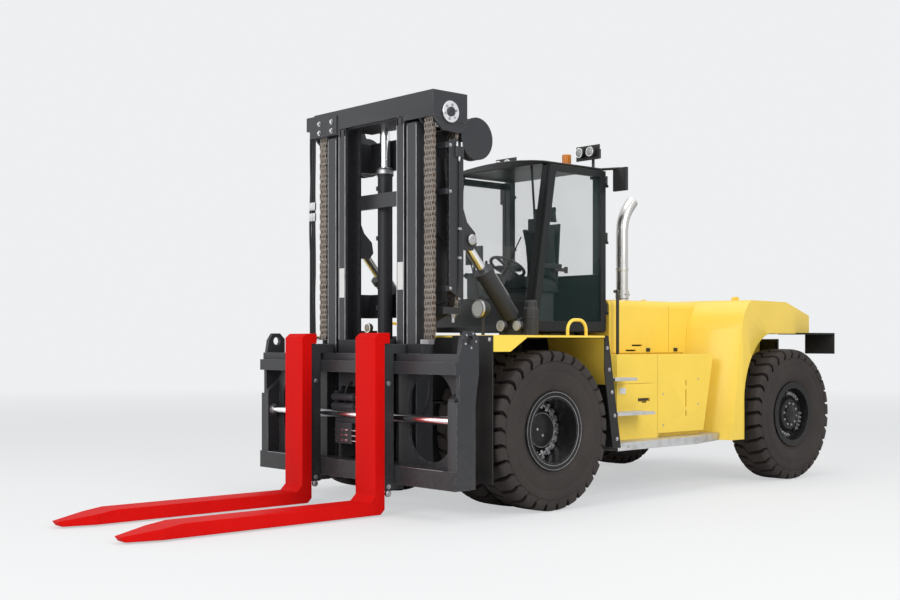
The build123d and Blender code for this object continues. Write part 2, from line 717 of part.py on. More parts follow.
side_y = (556, 600)
cross_members = ((axle_z + 70, axle_z + 250), (outer_top - 1800, outer_top - 1560), (outer_top - 320, outer_top - 20))
heel = [
    (mast_back + 5, rail_low + 30), (mast_back + 5, axle_z + 250), (cross_back, axle_z + 250),
    (pivot_x - 90, pivot_z + 40), (pivot_x, pivot_z - 100), (cross_front, pivot_z - 280),
]
ear_nose = [(40, 160), (-60, 70), (-80, -40), (-30, -100), (80, -100)]
ear_nose = [(tilt_pin_x + x, tilt_pin_z + z) for x, z in ear_nose]
plate_top, plate_low = tilt_pin_z + 760, tilt_pin_z + 60
plate_front = mast_back + 115
ear_in = [(mast_back - 85, plate_top), (mast_back - 145, plate_top - 340)] + ear_nose
ear_in += [(mast_back - 25, plate_low), (plate_front, plate_low), (plate_front, plate_top)]
ear_back = tilt_pin_x + 120
ear_out = [(ear_back, tilt_pin_z + 360)] + ear_nose + [(ear_back, tilt_pin_z - 60)]
ear_web = [(ear_back, tilt_pin_z + 360), (ear_back - 40, tilt_pin_z + 270), (ear_back, tilt_pin_z + 270)]
ear_y = tilt_y + eye_gap
anchor = (chain_anchor_z - 60, chain_anchor_z)
lift_foot = axle_z + 100
mast_half = rail(outer_in, outer_out, outer_web, rail_low, outer_top) + across(heel, *side_y)
for z_span in cross_members[1:]:
    mast_half += block((cross_back, mast_back + 5), side_y, z_span)
mast_half -= rod_y(pivot_x, pivot_z, pivot_r, 500, 640)
mast_half += across(ear_in, outer_out, tilt_y - eye_gap)
mast_half += across(ear_out, ear_y, ear_y + 34)
mast_half += across(ear_web, outer_out + 10, ear_y + 10)
mast_half += rod_y(tilt_pin_x, tilt_pin_z, 55, ear_y, ear_y + 60)
mast_half += block((mast_back - 175, mast_back + 40), (outer_out, chain_y + chain_w / 2 + 10), anchor)
mast_half += block((cross_back, mast_back - 65), (lift_y - 80, lift_y + 90), (lift_foot - 70, lift_foot))
outer_mast = mast_half + flip(mast_half)
for z_span in cross_members:
    outer_mast += block((cross_back, cross_front), (-side_y[1], side_y[1]), z_span)
save("outer_mast", outer_mast)

barrels = []
for y in (-lift_y, lift_y):
    tube = rod_z(lift_x, y, lift_r, lift_foot, lift_top) + rod_z(lift_x, y, lift_r + 10, lift_top - 70, lift_top)
    barrels.append(tube - rod_z(lift_x, y, lift_rod_r, lift_foot + 50, lift_top + 10))
save("lift_barrels", *barrels)
save("lift_rods", *[rod_z(lift_x, y, lift_rod_r - running, lift_foot + 150, inner_top) for y in (-lift_y, lift_y)])

# Inner mast: rails, ties behind them and the crosshead that holds the sheaves
head_front = mast_front
head_plates = ((715, 740), (head_out - 25, head_out))
head = [
    (head_front, head_low), (head_front, head_top), (head_back, head_top), (head_back, head_low - 40),
    (head_back + 80, head_low - 130), (head_front - 125, head_low - 120),
]
disc_x, disc_z, disc_r = head_back - 160, head_low - 150, 200
hose_arm = [(-70, -80), (70, -80), (200, 150), (200, 300), (100, 300)]
hose_arm = [(disc_x + x, disc_z + z) for x, z in hose_arm]
mast_half = rail(inner_in, inner_out, inner_web, rail_low, inner_top)
for plate in head_plates:
    mast_half += across(head, *plate)
mast_half += block((head_front - 25, head_front), (inner_out - 10, head_out), (head_low, head_top))
mast_half += block((head_back, head_back + 30), (inner_in, head_out), (inner_top + 50, head_top))
mast_half += block((head_back, head_front), (inner_out - 10, head_out), (head_top - 18, head_top))
for z in (rail_low + 290, outer_top - 620):
    mast_half += rod_y(roller_x, z, roller_r - running, 560, 655) + rod_y(roller_x, z, 40, inner_out - 15, 570)
mast_half += rod_y(disc_x, disc_z, disc_r, 770, 800) + rod_y(disc_x, disc_z, disc_r, 860, 890)
mast_half += rod_y(disc_x, disc_z, disc_r - 50, 790, 870) + across(hose_arm, 741, 772)
inner_mast = mast_half + flip(mast_half)
inner_mast += block((head_front - 85, head_front), (-inner_out, inner_out), (inner_top + 10, head_top))
inner_mast += block((head_back, head_front - 45), (-inner_out, inner_out), (inner_top, inner_top + 50))
for z in (rail_low + 170, outer_top - 720):
    z_span = (z, z + 140)
    inner_mast += block((mast_back - 55, mast_back + 5), (-inner_out, inner_out), z_span)
inner_mast += block((head_front - 55, head_front), (-head_out - 135, -head_out + 5), (inner_top + 50, head_top - 10))
save("inner_mast", inner_mast)

# Sheaves, with the boss of each pin outside the crosshead
flange_out = sheave_r + 45
sheave_half = chain_w / 2 + 2
sheave_edge = [
    (40, chain_y - 72), (flange_out, chain_y - 72), (flange_out, chain_y - 66), (sheave_r, chain_y - sheave_half),
    (sheave_r, chain_y + sheave_half), (flange_out, chain_y + 66), (flange_out, chain_y + 72), (40, chain_y + 72),
]
sheave = turned(sheave_edge, sheave_x, sheave_z)
sheave += rod_y(sheave_x, sheave_z, 60, head_plates[0][1] + running, head_plates[1][0] - running)
sheave += rod_y(sheave_x, sheave_z, 100, head_out, head_out + 30)
save("chain_sheaves", *pair(sheave))

# Chains run over the sheaves from the carriage to the outer mast, notched at each link
link_depth = 9
chain_in = sheave_r + running
chain_half = chain_w / 2


def links(face_x, back_x, low, high):
    count = int((high - low) // chain_pitch)
    step = (high - low) / count
    inward = math.copysign(link_depth, back_x - face_x)
    outline = [(back_x, low)]
    for link in range(count):
        outline += [(face_x + inward, low + link * step), (face_x, low + (link + 0.5) * step)]
    outline += [(face_x + inward, high), (back_x, high)]
    return across(outline, chain_y - chain_half, chain_y + chain_half)


front_run = links(sheave_x + chain_in + chain_t, sheave_x + chain_in, chain_low, sheave_z)
turns = [math.pi * step / 8 for step in range(9)]
round_top = [
    (sheave_x + reach * math.cos(turn), sheave_z + reach * math.sin(turn))
    for reach, bends in (((chain_in + 2.5), turns), ((chain_in + chain_t - link_depth), turns[::-1]))
    for turn in bends
]
front_run += across(round_top, chain_y - chain_half, chain_y + chain_half)
save("chain_front_runs", *pair(front_run))
rear_run = links(sheave_x - chain_in - chain_t, sheave_x - chain_in, chain_anchor_z, sheave_z)
save("chain_rear_runs", *pair(rear_run))

hoses = [rod_z(hose_x, -head_out - 35 - step * 34, hose_r, 1500, inner_top + 50) for step in range(3)]
save("mast_hoses", *hoses)

# Carriage: two bars, end posts with lifting ears, cut-out side plates and brackets with rollers in the rails
web_t = 30
end_in = carriage_half - end_w
panel_in = 600
end_post = [
    (-80, 1040), (110, 1040), (110, 1420), (80, ear_top - 70), (30, ear_top), (-60, ear_top), (-120, ear_top - 60),
    (-120, 1300),
]
end_post = [(bar_back + x, z) for x, z in end_post]
panel = [
    (panel_in, low_bar[0]), (carriage_half, low_bar[0]), (carriage_half, 1120), (end_in - 70, top_bar[0] + 5),
    (panel_in, top_bar[0] + 5),
]
hole_w = end_in - panel_in - 180
hole_h = 820
hole = RectangleRounded(hole_w, hole_h, 0.48 * min(hole_w, hole_h))
bracket_x = (bar_back - 95, bar_back)
half = along(panel, bar_back - web_t, bar_back)
half -= Pos(bar_back, (panel_in + end_in) / 2 + 10, 900) * extrude(Plane.YZ * hole, amount=50, both=True)
half += block((bar_back - 80, bar_front - 20), (end_in, carriage_half), (low_bar[0] + 5, 1050))
half += across(end_post, carriage_half - ear_t, carriage_half)
half -= rod_y(bar_back - 20, ear_hole_z, ear_hole_r, end_in, carriage_half + 80)
half += block(bracket_x, (560, 640), (low_bar[0], top_bar[1]))
half += block((roller_x - 55, bar_back), (330, 370), (low_bar[1], 1600))
half += block(bracket_x, (330, 640), (low_bar[0] + 20, low_bar[1]))
half += block(bracket_x, (330, 640), top_bar)
half += block(bracket_x, (640, chain_y + 75), (1440, 1560))
for z in (600, 1450):
    half += rod_y(roller_x, z, roller_r - running, 392, 484) + rod_y(roller_x, z, 40, 360, 400)
carriage = half + flip(half) + block((bar_back - 60, bar_back), (-350, 350), (1150, 1600))
bar_rebate = block((bar_front - 40, bar_front + 1), (-carriage_half - 1, carriage_half + 1), (1400, top_bar[1] + 1))
carriage += block((bar_back, bar_front), (-carriage_half, carriage_half), top_bar) - bar_rebate
carriage += block((bar_back, bar_front), (-carriage_half, carriage_half), low_bar)
save("carriage_frame", carriage)

shaft_half = end_in - 0.5
save("guide_shaft", rod_y(bar_back + 65, shaft_z, shaft_r, -shaft_half, shaft_half))


# Forks: a blade and a shank with a hook, and a dark carrier behind that rides on the bars
def fork(y):
    tip = fork_face + fork_length
    heel_x = fork_face - fork_t
    low = blade_top - fork_t
    profile = [
        (heel_x, blade_tip_z), (heel_x + 45, low), (tip - 40, low), (tip, blade_tip_z), (tip - 500, blade_top),
        (fork_face + 60, blade_top), (fork_face, blade_top + 60), (fork_face, fork_top - 40), (fork_face - 50, fork_top),
        (heel_x - 60, fork_top), (heel_x - 60, fork_hook_z), (heel_x, fork_hook_z),
    ]
    blade = across(profile, y - fork_w / 2, y + fork_w / 2)
    for sign in (-1, 1):
        corner = [(tip - 320, sign * fork_w / 2), (tip + 10, sign * fork_w / 2), (tip + 10, sign * 50)]
        blade -= Pos(0, y, 0) * upward(corner, 0, 300)
    return blade


def carrier(y):
    spread = (y - fork_w / 2 + 25, y + fork_w / 2 - 25)
    back = fork_face - fork_t - running
    front = bar_front + running
    plate = block((front, back), spread, (220, 1500))
    plate += block((bar_back + 10, back), spread, (top_bar[1] + running, fork_hook_z - 4))
    return plate + block((front - 120, back), spread, (230, low_bar[0] - running))


for node, y in (("left", fork_y), ("right", -fork_y)):
    save("fork_" + node, fork(y))
    save("fork_carrier_" + node, carrier(y))

# Lamps: a turned bowl on a stalk at each front corner, a pair of boxes on the roof
lamp_x, lamp_y, lamp_z, lamp_r = 430, 1000, deck_z + 250, 85
roof_lamp_x = (cab_rear + 20, cab_rear + 130)
roof_lamp_y, roof_lamp_z = 620, roof_z + 180
bowl = [(0, -60), (35, -60), (60, -45), (78, -5), (lamp_r, 30), (lamp_r, 60), (0, 60)]
bowl_face = make_face(Polyline([(x, 0, r) for r, x in bowl], close=True))
lamps = []
lenses = []
lens_t = 10
for sign in (-1, 1):
    y = sign * lamp_y
    lamp = Pos(lamp_x, y, lamp_z) * revolve(bowl_face, axis=Axis.X)
    lamps.append(lamp + rod_z(lamp_x, y, 16, deck_z, lamp_z - 30))
    lens_x = lamp_x + 60 + running
    lenses.append(bar((lens_x, y, lamp_z), (lens_x + lens_t, y, lamp_z), lamp_r - 10))
    y = sign * roof_lamp_y
    stalk = rod_z(cab_rear + 60, y, 16, roof_z + 20, roof_lamp_z)
    lamps.append(stalk + block(roof_lamp_x, (y - 75, y + 75), (roof_lamp_z - 50, roof_lamp_z + 50)) - roof)
    lens_x = roof_lamp_x[1] + running
    lenses.append(block((lens_x, lens_x + lens_t), (y - 65, y + 65), (roof_lamp_z - 40, roof_lamp_z + 40)))
save("lamp_housings", *lamps)
save("lamp_lenses", *lenses)
beacon = rod_z(cab_rear + 130, 300, 50, roof_z + 50, roof_z + 200) - roof
save("beacon", beacon)

# Mirrors on arms behind the cab, clear of an open door
mirror_x = cab_rear - 102
mirror_y, mirror_z = 860, roof_z + 18
mirrors = []
for sign in (-1, 1):
    y = sign * mirror_y
    arm = bar((cab_rear - 5, sign * (cab_half - 40), mirror_z), (mirror_x, y, mirror_z), 14)
    arm += block((mirror_x - 18, mirror_x + 18), (y - 90, y + 90), (mirror_z - 238, mirror_z + 7))
    mirrors.append(arm - roof)
save("mirrors", *mirrors)

grab_x = cab_rear - 90
grab_y, grab_z = hood_half + 90, hood_top + 85
grab = pipe([(grab_x, grab_y, box_top), (grab_x, grab_y, grab_z), (grab_x - 70, grab_y - 100, grab_z)], 17, 40)
save("grab_rails", *pair(grab - hood))
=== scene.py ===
import bpy
import bmesh
import json
from math import cos, hypot, pi, radians, sin
from mathutils import Matrix, Vector


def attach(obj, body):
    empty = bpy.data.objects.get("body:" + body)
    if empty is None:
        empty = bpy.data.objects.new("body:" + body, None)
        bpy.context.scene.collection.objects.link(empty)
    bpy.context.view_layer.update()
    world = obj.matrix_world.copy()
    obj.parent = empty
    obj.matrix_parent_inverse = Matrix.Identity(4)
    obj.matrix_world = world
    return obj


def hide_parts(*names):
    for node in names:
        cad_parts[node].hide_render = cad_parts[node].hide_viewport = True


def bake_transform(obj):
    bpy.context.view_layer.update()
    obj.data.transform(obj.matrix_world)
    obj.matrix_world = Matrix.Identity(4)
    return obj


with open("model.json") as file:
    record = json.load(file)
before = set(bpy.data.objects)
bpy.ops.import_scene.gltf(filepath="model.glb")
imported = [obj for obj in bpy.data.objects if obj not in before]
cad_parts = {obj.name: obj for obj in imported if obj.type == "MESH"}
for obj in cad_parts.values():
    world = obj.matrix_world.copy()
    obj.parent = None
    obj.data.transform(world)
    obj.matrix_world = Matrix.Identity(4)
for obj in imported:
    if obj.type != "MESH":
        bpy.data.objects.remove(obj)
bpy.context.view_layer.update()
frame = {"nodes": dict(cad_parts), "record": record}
axleX = 0.535  # the drive axle's place along the truck, in metres
steerX, wheelZ = -4.08, 0.75  # from the drive axle's foot to the steer axle, and the height of both
bothSides = (("left", 1), ("right", -1))
up = (0, 0, 1)
print("frame loaded:", len(frame["nodes"]), "nodes")


# shader maths

class Field:  # a socket that takes part in Python sums
    def __init__(self, paint, socket):
        self.paint = paint
        self.socket = socket

    def maths(self, operation, first, second=0.0):
        return self.paint.add("ShaderNodeMath", {"operation": operation}, {0: first, 1: second})

    def __add__(self, other):
        return self.maths("ADD", self, other)

    def __radd__(self, other):
        return self.maths("ADD", other, self)

    def __sub__(self, other):
        return self.maths("SUBTRACT", self, other)

    def __rsub__(self, other):
        return self.maths("SUBTRACT", other, self)

    def __mul__(self, other):
        return self.maths("MULTIPLY", self, other)

    def __rmul__(self, other):
        return self.maths("MULTIPLY", other, self)

    def least(self, other):
        return self.maths("MINIMUM", self, other)

    def most(self, other):
        return self.maths("MAXIMUM", self, other)

    def ramp(self, low, high, start=0.0, end=1.0):  # start to end as the value goes from low to high
        return self.paint.add("ShaderNodeMapRange", {"clamp": True},
                              {"Value": self, "From Min": low, "From Max": high, "To Min": start,
                               "To Max": end})


paints = {}


class Paint:  # one material, or the world, and the nodes behind it
    def __init__(self, name, world=None):
        self.material = world or bpy.data.materials.new(name)
        self.material.use_nodes = True
        self.tree = self.material.node_tree
        self.shader = self.tree.nodes["Background" if world else "Principled BSDF"]
        paints[name] = self.material

    def add(self, kind, settings=None, values=None, output=0):
        node = self.tree.nodes.new(kind)
        for key, value in (settings or {}).items():
            setattr(node, key, value)
        for key, value in (values or {}).items():
            self.put(node.inputs[key], value)
        return Field(self, node.outputs[output])

    def put(self, socket, value):
        if isinstance(value, Field):
            self.tree.links.new(value.socket, socket)
        elif isinstance(value, (tuple, list)) and len(value) == 3 and len(socket.default_value) == 4:
            socket.default_value = (*value, 1.0)
        else:
            socket.default_value = value

    def set(self, **values):
        for key, value in values.items():
            self.put(self.shader.inputs[key.replace("_", " ")], value)

    def place(self):  # the truck's own metres, which stay with a moving piece
        return self.add("ShaderNodeTexCoord", output="Object")

    def overlay(self, factor, other):  # the shader and another one, mixed into the output
        mixed = self.add("ShaderNodeMixShader", {},
                         {0: factor, 1: Field(self, self.shader.outputs[0]), 2: other})
        ending = next(node for node in self.tree.nodes if node.bl_idname.startswith("ShaderNodeOutput"))
        self.put(ending.inputs[0], mixed)

    def axis(self, letter):
        return self.add("ShaderNodeSeparateXYZ", {}, {0: self.place()}, output="XYZ".index(letter))

    def noise(self, scale, detail=4.0, rough=0.55, stretch=(1.0, 1.0, 1.0)):
        spot = self.add("ShaderNodeMapping", {}, {"Vector": self.place(), "Scale": stretch})
        return self.add("ShaderNodeTexNoise", {},
                        {"Vector": spot, "Scale": scale, "Detail": detail, "Roughness": rough})

    def cells(self, scale):
        return self.add("ShaderNodeTexVoronoi", {}, {"Vector": self.place(), "Scale": scale})

    def edges(self, width, low, high):  # 1 along the edges, from how far a rounded normal leans over
        rounded = self.add("ShaderNodeBevel", {"samples": 4}, {"Radius": width})
        plain = self.add("ShaderNodeNewGeometry", output=1)
        lean = self.add("ShaderNodeVectorMath", {"operation": "DOT_PRODUCT"}, {0: rounded, 1: plain},
                        output=1)
        return (1.0 - lean).ramp(low, high)

    def mix(self, factor, first, second):
        return self.add("ShaderNodeMix", {"data_type": "RGBA"}, {0: factor, 6: first, 7: second}, output=2)

    def bump(self, height, strength, distance):
        self.set(Normal=self.add("ShaderNodeBump", {},
                                 {"Strength": strength, "Distance": distance, "Height": height}))


def paintedSteel(name, colour, worn, rough, look):
    paint = Paint(name)
    broad = paint.noise(look["broadScale"], 3.0)
    fine = paint.noise(look["fineScale"], 6.0)
    low = paint.axis("Z").ramp(0.1, look["dustHeight"], 1.0, 0.0)
    shade = paint.mix(broad.ramp(0.35, 0.7), colour, [c * look["shade"] for c in colour])
    dust = (low * fine.ramp(0.4, 0.75) * look["dust"]).least(1.0)
    shade = paint.mix(dust, shade, look["dustColour"])
    wear = (paint.edges(look["wearWidth"], 0.02, 0.1) * fine.ramp(0.4, 0.6) * look["wear"]).least(1.0)
    shade = paint.mix(wear, shade, worn)
    paint.set(Base_Color=shade, Roughness=(rough + fine * 0.06 + dust * 0.3).least(1.0),
              Coat_Weight=look["coat"], Coat_Roughness=0.12, Specular_IOR_Level=look["gloss"])
    paint.bump(paint.noise(look["peelScale"], 2.0), look["peel"], 0.002)


steelLook = {"broadScale": 1.3, "fineScale": 26.0, "dustHeight": 1.1, "shade": 0.93, "dust": 0.14,
             "dustColour": (0.22, 0.19, 0.15), "wear": 0.35, "coat": 0.12, "peelScale": 240.0, "peel": 0.04,
             "wearWidth": 0.007, "gloss": 0.25}
darkLook = dict(steelLook, shade=0.88, dust=0.12, wear=0.7, coat=0.0, gloss=0.22, peelScale=200.0, peel=0.05)
paintedSteel("bodyYellow", (0.88, 0.62, 0.085), (0.7, 0.52, 0.16), 0.3, steelLook)
paintedSteel("mastCharcoal", (0.036, 0.037, 0.041), (0.22, 0.22, 0.23), 0.38, darkLook)
paintedSteel("forkRed", (0.62, 0.005, 0.004), (0.36, 0.02, 0.015), 0.46,
             dict(steelLook, dust=0.02, wear=0.2, coat=0.0, gloss=0.04))
paintedSteel("rimBlack", (0.014, 0.014, 0.015), (0.14, 0.14, 0.14), 0.26, dict(darkLook, gloss=0.18))
paintedSteel("cabBlack", (0.016, 0.017, 0.018), (0.08, 0.08, 0.08), 0.27, dict(darkLook, dust=0.1, wear=0.2))
paintedSteel("axleIron", (0.035, 0.034, 0.034), (0.12, 0.11, 0.1), 0.55,
             dict(darkLook, peelScale=60.0, peel=0.3))


def bareMetal(name, colour, rough, brush, stain, edgeHighlight=None):
    paint = Paint(name)
    grain = paint.noise(90.0, 4.0, 0.6, brush)
    blotch = paint.noise(9.0, 4.0)
    shade = paint.mix(blotch.ramp(0.45, 0.75) * stain[3], colour, stain[:3])
    if edgeHighlight:
        # painted highlight: a shiny steel colour mixed in along the edges
        shade = paint.mix(paint.edges(0.005, 0.01, 0.08), shade, edgeHighlight)
    paint.set(Base_Color=shade, Metallic=1.0, Roughness=(rough + grain * 0.16 + blotch * 0.1).least(1.0))
    paint.bump(grain, 0.06, 0.001)


bareMetal("rodChrome", (0.82, 0.82, 0.84), 0.06, (1.0, 1.0, 1.0), (0.5, 0.48, 0.45, 0.15))
# chainSteel's last colour is a painted highlight along the chain's edges
bareMetal("chainSteel", (0.13, 0.1, 0.08), 0.36, (1.0, 1.0, 6.0), (0.1, 0.055, 0.03, 0.7), (0.62, 0.59, 0.55))
bareMetal("boltSteel", (0.48, 0.48, 0.5), 0.3, (1.0, 1.0, 1.0), (0.2, 0.19, 0.18, 0.5))
bareMetal("stackSteel", (0.62, 0.61, 0.59), 0.16, (6.0, 6.0, 0.6), (0.55, 0.47, 0.38, 0.3))
bareMetal("stepZinc", (0.62, 0.62, 0.63), 0.34, (1.0, 1.0, 1.0), (0.36, 0.35, 0.34, 0.6))


def rubber(name, colour, dusty, rough):
    paint = Paint(name)
    broad = paint.noise(3.0, 5.0)
    fine = paint.noise(70.0, 5.0)
    shade = paint.mix(broad.ramp(0.35, 0.7) * 0.7, colour, dusty)
    paint.set(Base_Color=shade, Roughness=(rough + fine * 0.2).least(1.0), Specular_IOR_Level=0.3)
    paint.bump(fine, 0.18, 0.002)


rubber("tyreRubber", (0.024, 0.019, 0.0175), (0.042, 0.034, 0.031), 0.62)
rubber("flapRubber", (0.012, 0.012, 0.012), (0.03, 0.029, 0.027), 0.5)
rubber("hoseRubber", (0.013, 0.013, 0.014), (0.024, 0.023, 0.022), 0.42)


def moulded(name, colour, rough):
    paint = Paint(name)
    grain = paint.cells(420.0)
    broad = paint.noise(5.0)
    paint.set(Base_Color=paint.mix(broad, colour, [c * 0.75 for c in colour]),
              Roughness=(rough + broad * 0.1))
    paint.bump(grain, 0.12, 0.0008)


moulded("trimBlack", (0.018, 0.018, 0.019), 0.48)
moulded("consoleGrey", (0.055, 0.056, 0.058), 0.5)
moulded("beaconAmber", (0.85, 0.26, 0.015), 0.22)
moulded("plateWhite", (0.72, 0.72, 0.7), 0.4)
moulded("lampRed", (0.55, 0.015, 0.01), 0.2)
moulded("padDark", (0.022, 0.022, 0.024), 0.75)


def clearGlass(name, colour, see, rough, ribs=0.0):
    paint = Paint(name)
    smear = paint.noise(4.0, 5.0)
    paint.set(Base_Color=colour, Roughness=(rough + smear * 0.03), Alpha=see, Specular_IOR_Level=0.6, IOR=1.5)
    if ribs:
        paint.bump(paint.cells(90.0), ribs, 0.004)


clearGlass("tintGlass", (0.02, 0.075, 0.07), 0.09, 0.02)
clearGlass("lampGlass", (0.46, 0.48, 0.49), 0.8, 0.04, 0.5)
print("materials made:", len(paints))


# pieces

def bodyOf(node):
    for body, nodes in frame["record"]["behaviour"]["bodies"].items():
        if node in nodes:
            return body


def placed(name, data):  # an object in the scene
    item = bpy.data.objects.new(name, data)
    bpy.context.scene.collection.objects.link(item)
    return item


def finish(name, mesh, body, paint, replaced=(), bevel=0.0):
    piece = placed(name, mesh)
    mesh.materials.clear()
    mesh.materials.append(paints[paint])
    if body:
        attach(piece, body)
    if replaced:
        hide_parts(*replaced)
    if bevel:
        edges = piece.modifiers.new("edges", "BEVEL")
        edges.width = bevel
        edges.segments = 2
        edges.limit_method = "ANGLE"
        edges.angle_limit = radians(38)
        edges.use_clamp_overlap = True
        edges.harden_normals = True
    return piece


def across(sign, near, far):  # a span along Y on the left side, 1, or the right, -1
    return sorted((sign * near, sign * far))


def turned(axis):  # the axis and two directions square to it
    axis = Vector(axis).normalized()
    first = axis.orthogonal().normalized()
    return axis, first, axis.cross(first)


class Form:  # mesh code for one piece, in metres from the drive axle's foot
    def __init__(self):
        self.mesh = bmesh.new()

    def spot(self, place):
        return self.mesh.verts.new((place[0] + axleX, place[1], place[2]))

    def bridge(self, rings):
        for here, following in zip(rings, rings[1:]):
            count = len(here)
            for k in range(count):
                self.mesh.faces.new((here[k], here[(k + 1) % count], following[(k + 1) % count],
                                     following[k]))

    def tube(self, rings):
        self.bridge(rings)
        self.mesh.faces.new(rings[0][::-1])
        self.mesh.faces.new(rings[-1])

    def prism(self, outline, low, high):  # an outline in X and Z, drawn out along Y
        self.tube([[self.spot((x, y, z)) for x, z in outline] for y in (low, high)])

    def box(self, x, y, z):
        outline = ((x[0], y[0]), (x[1], y[0]), (x[1], y[1]), (x[0], y[1]))
        self.tube([[self.spot((*corner, height)) for corner in outline] for height in z])

    def lathe(self, centre, axis, profile, sides=28, turn=0.0, ring=False):
        # the profile is radius and distance along the axis
        axis, first, second = turned(axis)
        rings = []
        for radius, reach in profile:
            circle = []
            for step in range(sides):
                angle = turn + 2 * pi * step / sides
                arm = first * cos(angle) + second * sin(angle)
                circle.append(self.spot(Vector(centre) + axis * reach + arm * max(radius, 0.0004)))
            rings.append(circle)
        if ring:
            self.bridge(rings + rings[:1])
        else:
            self.tube(rings)

    def rod(self, start, end, radius, sides=16):
        run = Vector(end) - Vector(start)
        self.lathe(start, run, [(radius, 0.0), (radius, run.length)], sides)

    def bolt(self, centre, axis, radius, height):
        self.lathe(centre, axis, [(radius * 1.5, -0.002), (radius * 1.5, height * 0.25)], 20)
        self.lathe(centre, axis, [(radius, 0.0), (radius, height * 0.85), (radius * 0.86, height)], 6, 0.4)

    def ringOf(self, centre, axis, ring, count, radius, height):
        axis, first, second = turned(axis)
        for step in range(count):
            angle = 2 * pi * step / count
            arm = first * cos(angle) + second * sin(angle)
            self.bolt(Vector(centre) + arm * ring, axis, radius, height)

    def made(self, name):
        bmesh.ops.recalc_face_normals(self.mesh, faces=self.mesh.faces)
        mesh = bpy.data.meshes.new(name)
        self.mesh.to_mesh(mesh)
        self.mesh.free()
        mesh.shade_smooth()
        mesh.set_sharp_from_angle(angle=radians(32))
        return mesh

    def done(self, name, body, paint, replaced=(), bevel=0.0):
        return finish(name, self.made(name), body, paint, replaced, bevel)


def piping(name, runs, radius, body, paint):  # fixed lines, each a smooth curve through its guide points
    curve = bpy.data.curves.new(name, "CURVE")
    curve.dimensions = "3D"
    curve.bevel_depth = radius
    curve.bevel_resolution = 3
    curve.use_fill_caps = True
    for run in runs:
        spline = curve.splines.new("NURBS")
        spline.points.add(len(run) - 1)
        for point, (x, y, z) in zip(spline.points, run):
            point.co = (x + axleX, y, z, 1.0)
        spline.order_u = 3
        spline.use_endpoint_u = True
    piece = placed(name, curve)
    curve.materials.append(paints[paint])
    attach(piece, body)


def settled(piece):  # its mesh as the modifiers leave it
    bpy.context.view_layer.update()
    return bpy.data.meshes.new_from_object(piece.evaluated_get(bpy.context.evaluated_depsgraph_get()))


def carved(mesh, cutter):  # the mesh less the cutter's forms
    stock, tool = placed("stock", mesh), placed("tool", cutter.made("tool"))
    cut = stock.modifiers.new("cut", "BOOLEAN")
    cut.object = tool
    cut.operation = "DIFFERENCE"
    cut.solver = "EXACT"
    cut.use_self = True
    result = settled(stock)
    for item in (stock, tool):
        bpy.data.objects.remove(item)
    return result


def softened(node, paint, width, cutter=None):  # the solid's own form with its edges rounded
    mesh = frame["nodes"][node].data.copy()
    form = bmesh.new()
    form.from_mesh(mesh)
    bmesh.ops.remove_doubles(form, verts=form.verts, dist=0.0001)
    bmesh.ops.dissolve_limit(form, angle_limit=radians(1.0), verts=form.verts, edges=form.edges)
    form.to_mesh(mesh)
    form.free()
    if cutter:
        mesh = carved(mesh, cutter)
    mesh.shade_smooth()
    mesh.set_sharp_from_angle(angle=radians(34))
    finish(node + "Form", mesh, bodyOf(node), paint, [node], width)


# panel gaps and slots cut into the body panels, as low and high along X and Z, and how deep they go

panelCuts = {
    "box": [((-1.9, -1.895), (0.55, 1.45), 0.012), ((-1.82, -1.26), (1.148, 1.153), 0.01),
            ((-2.69, -1.91), (0.57, 0.622), 0.06), ((-2.387, -2.369), (1.11, 1.169), 0.03),
            ((-2.387, -2.369), (0.88, 1.07), 0.03), ((-2.387, -2.369), (0.785, 0.845), 0.03),
            ((-1.77, -1.58), (0.965, 0.998), 0.03), ((-1.71, -1.64), (0.95, 0.962), 0.03)],
    "hood": [((-2.663, -2.657), (1.47, 2.1), 0.01), ((-2.2, -2.03), (1.535, 1.552), 0.03),
             ((-2.1, -1.93), (1.48, 1.497), 0.03), ((-2.92, -1.7), (1.44, 1.463), 0.02)],
}
boxHalf, hoodHalf, hoodTop = 1.2, 0.74, 2.035


def sideCuts(cuts, half, signs):
    cutter = Form()
    for x, z, depth in cuts:
        for sign in signs:
            cutter.box(x, across(sign, half - depth, half + 0.05), z)
    return cutter


hoodCutter = sideCuts(panelCuts["hood"], hoodHalf, (1, -1))
hoodCutter.box((-2.663, -2.657), (-0.72, 0.72), (hoodTop - 0.01, hoodTop + 0.05))
cutters = {"side_box_left": sideCuts(panelCuts["box"], boxHalf, (1,)),
           "side_box_right": sideCuts(panelCuts["box"], boxHalf, (-1,)), "hood": hoodCutter}

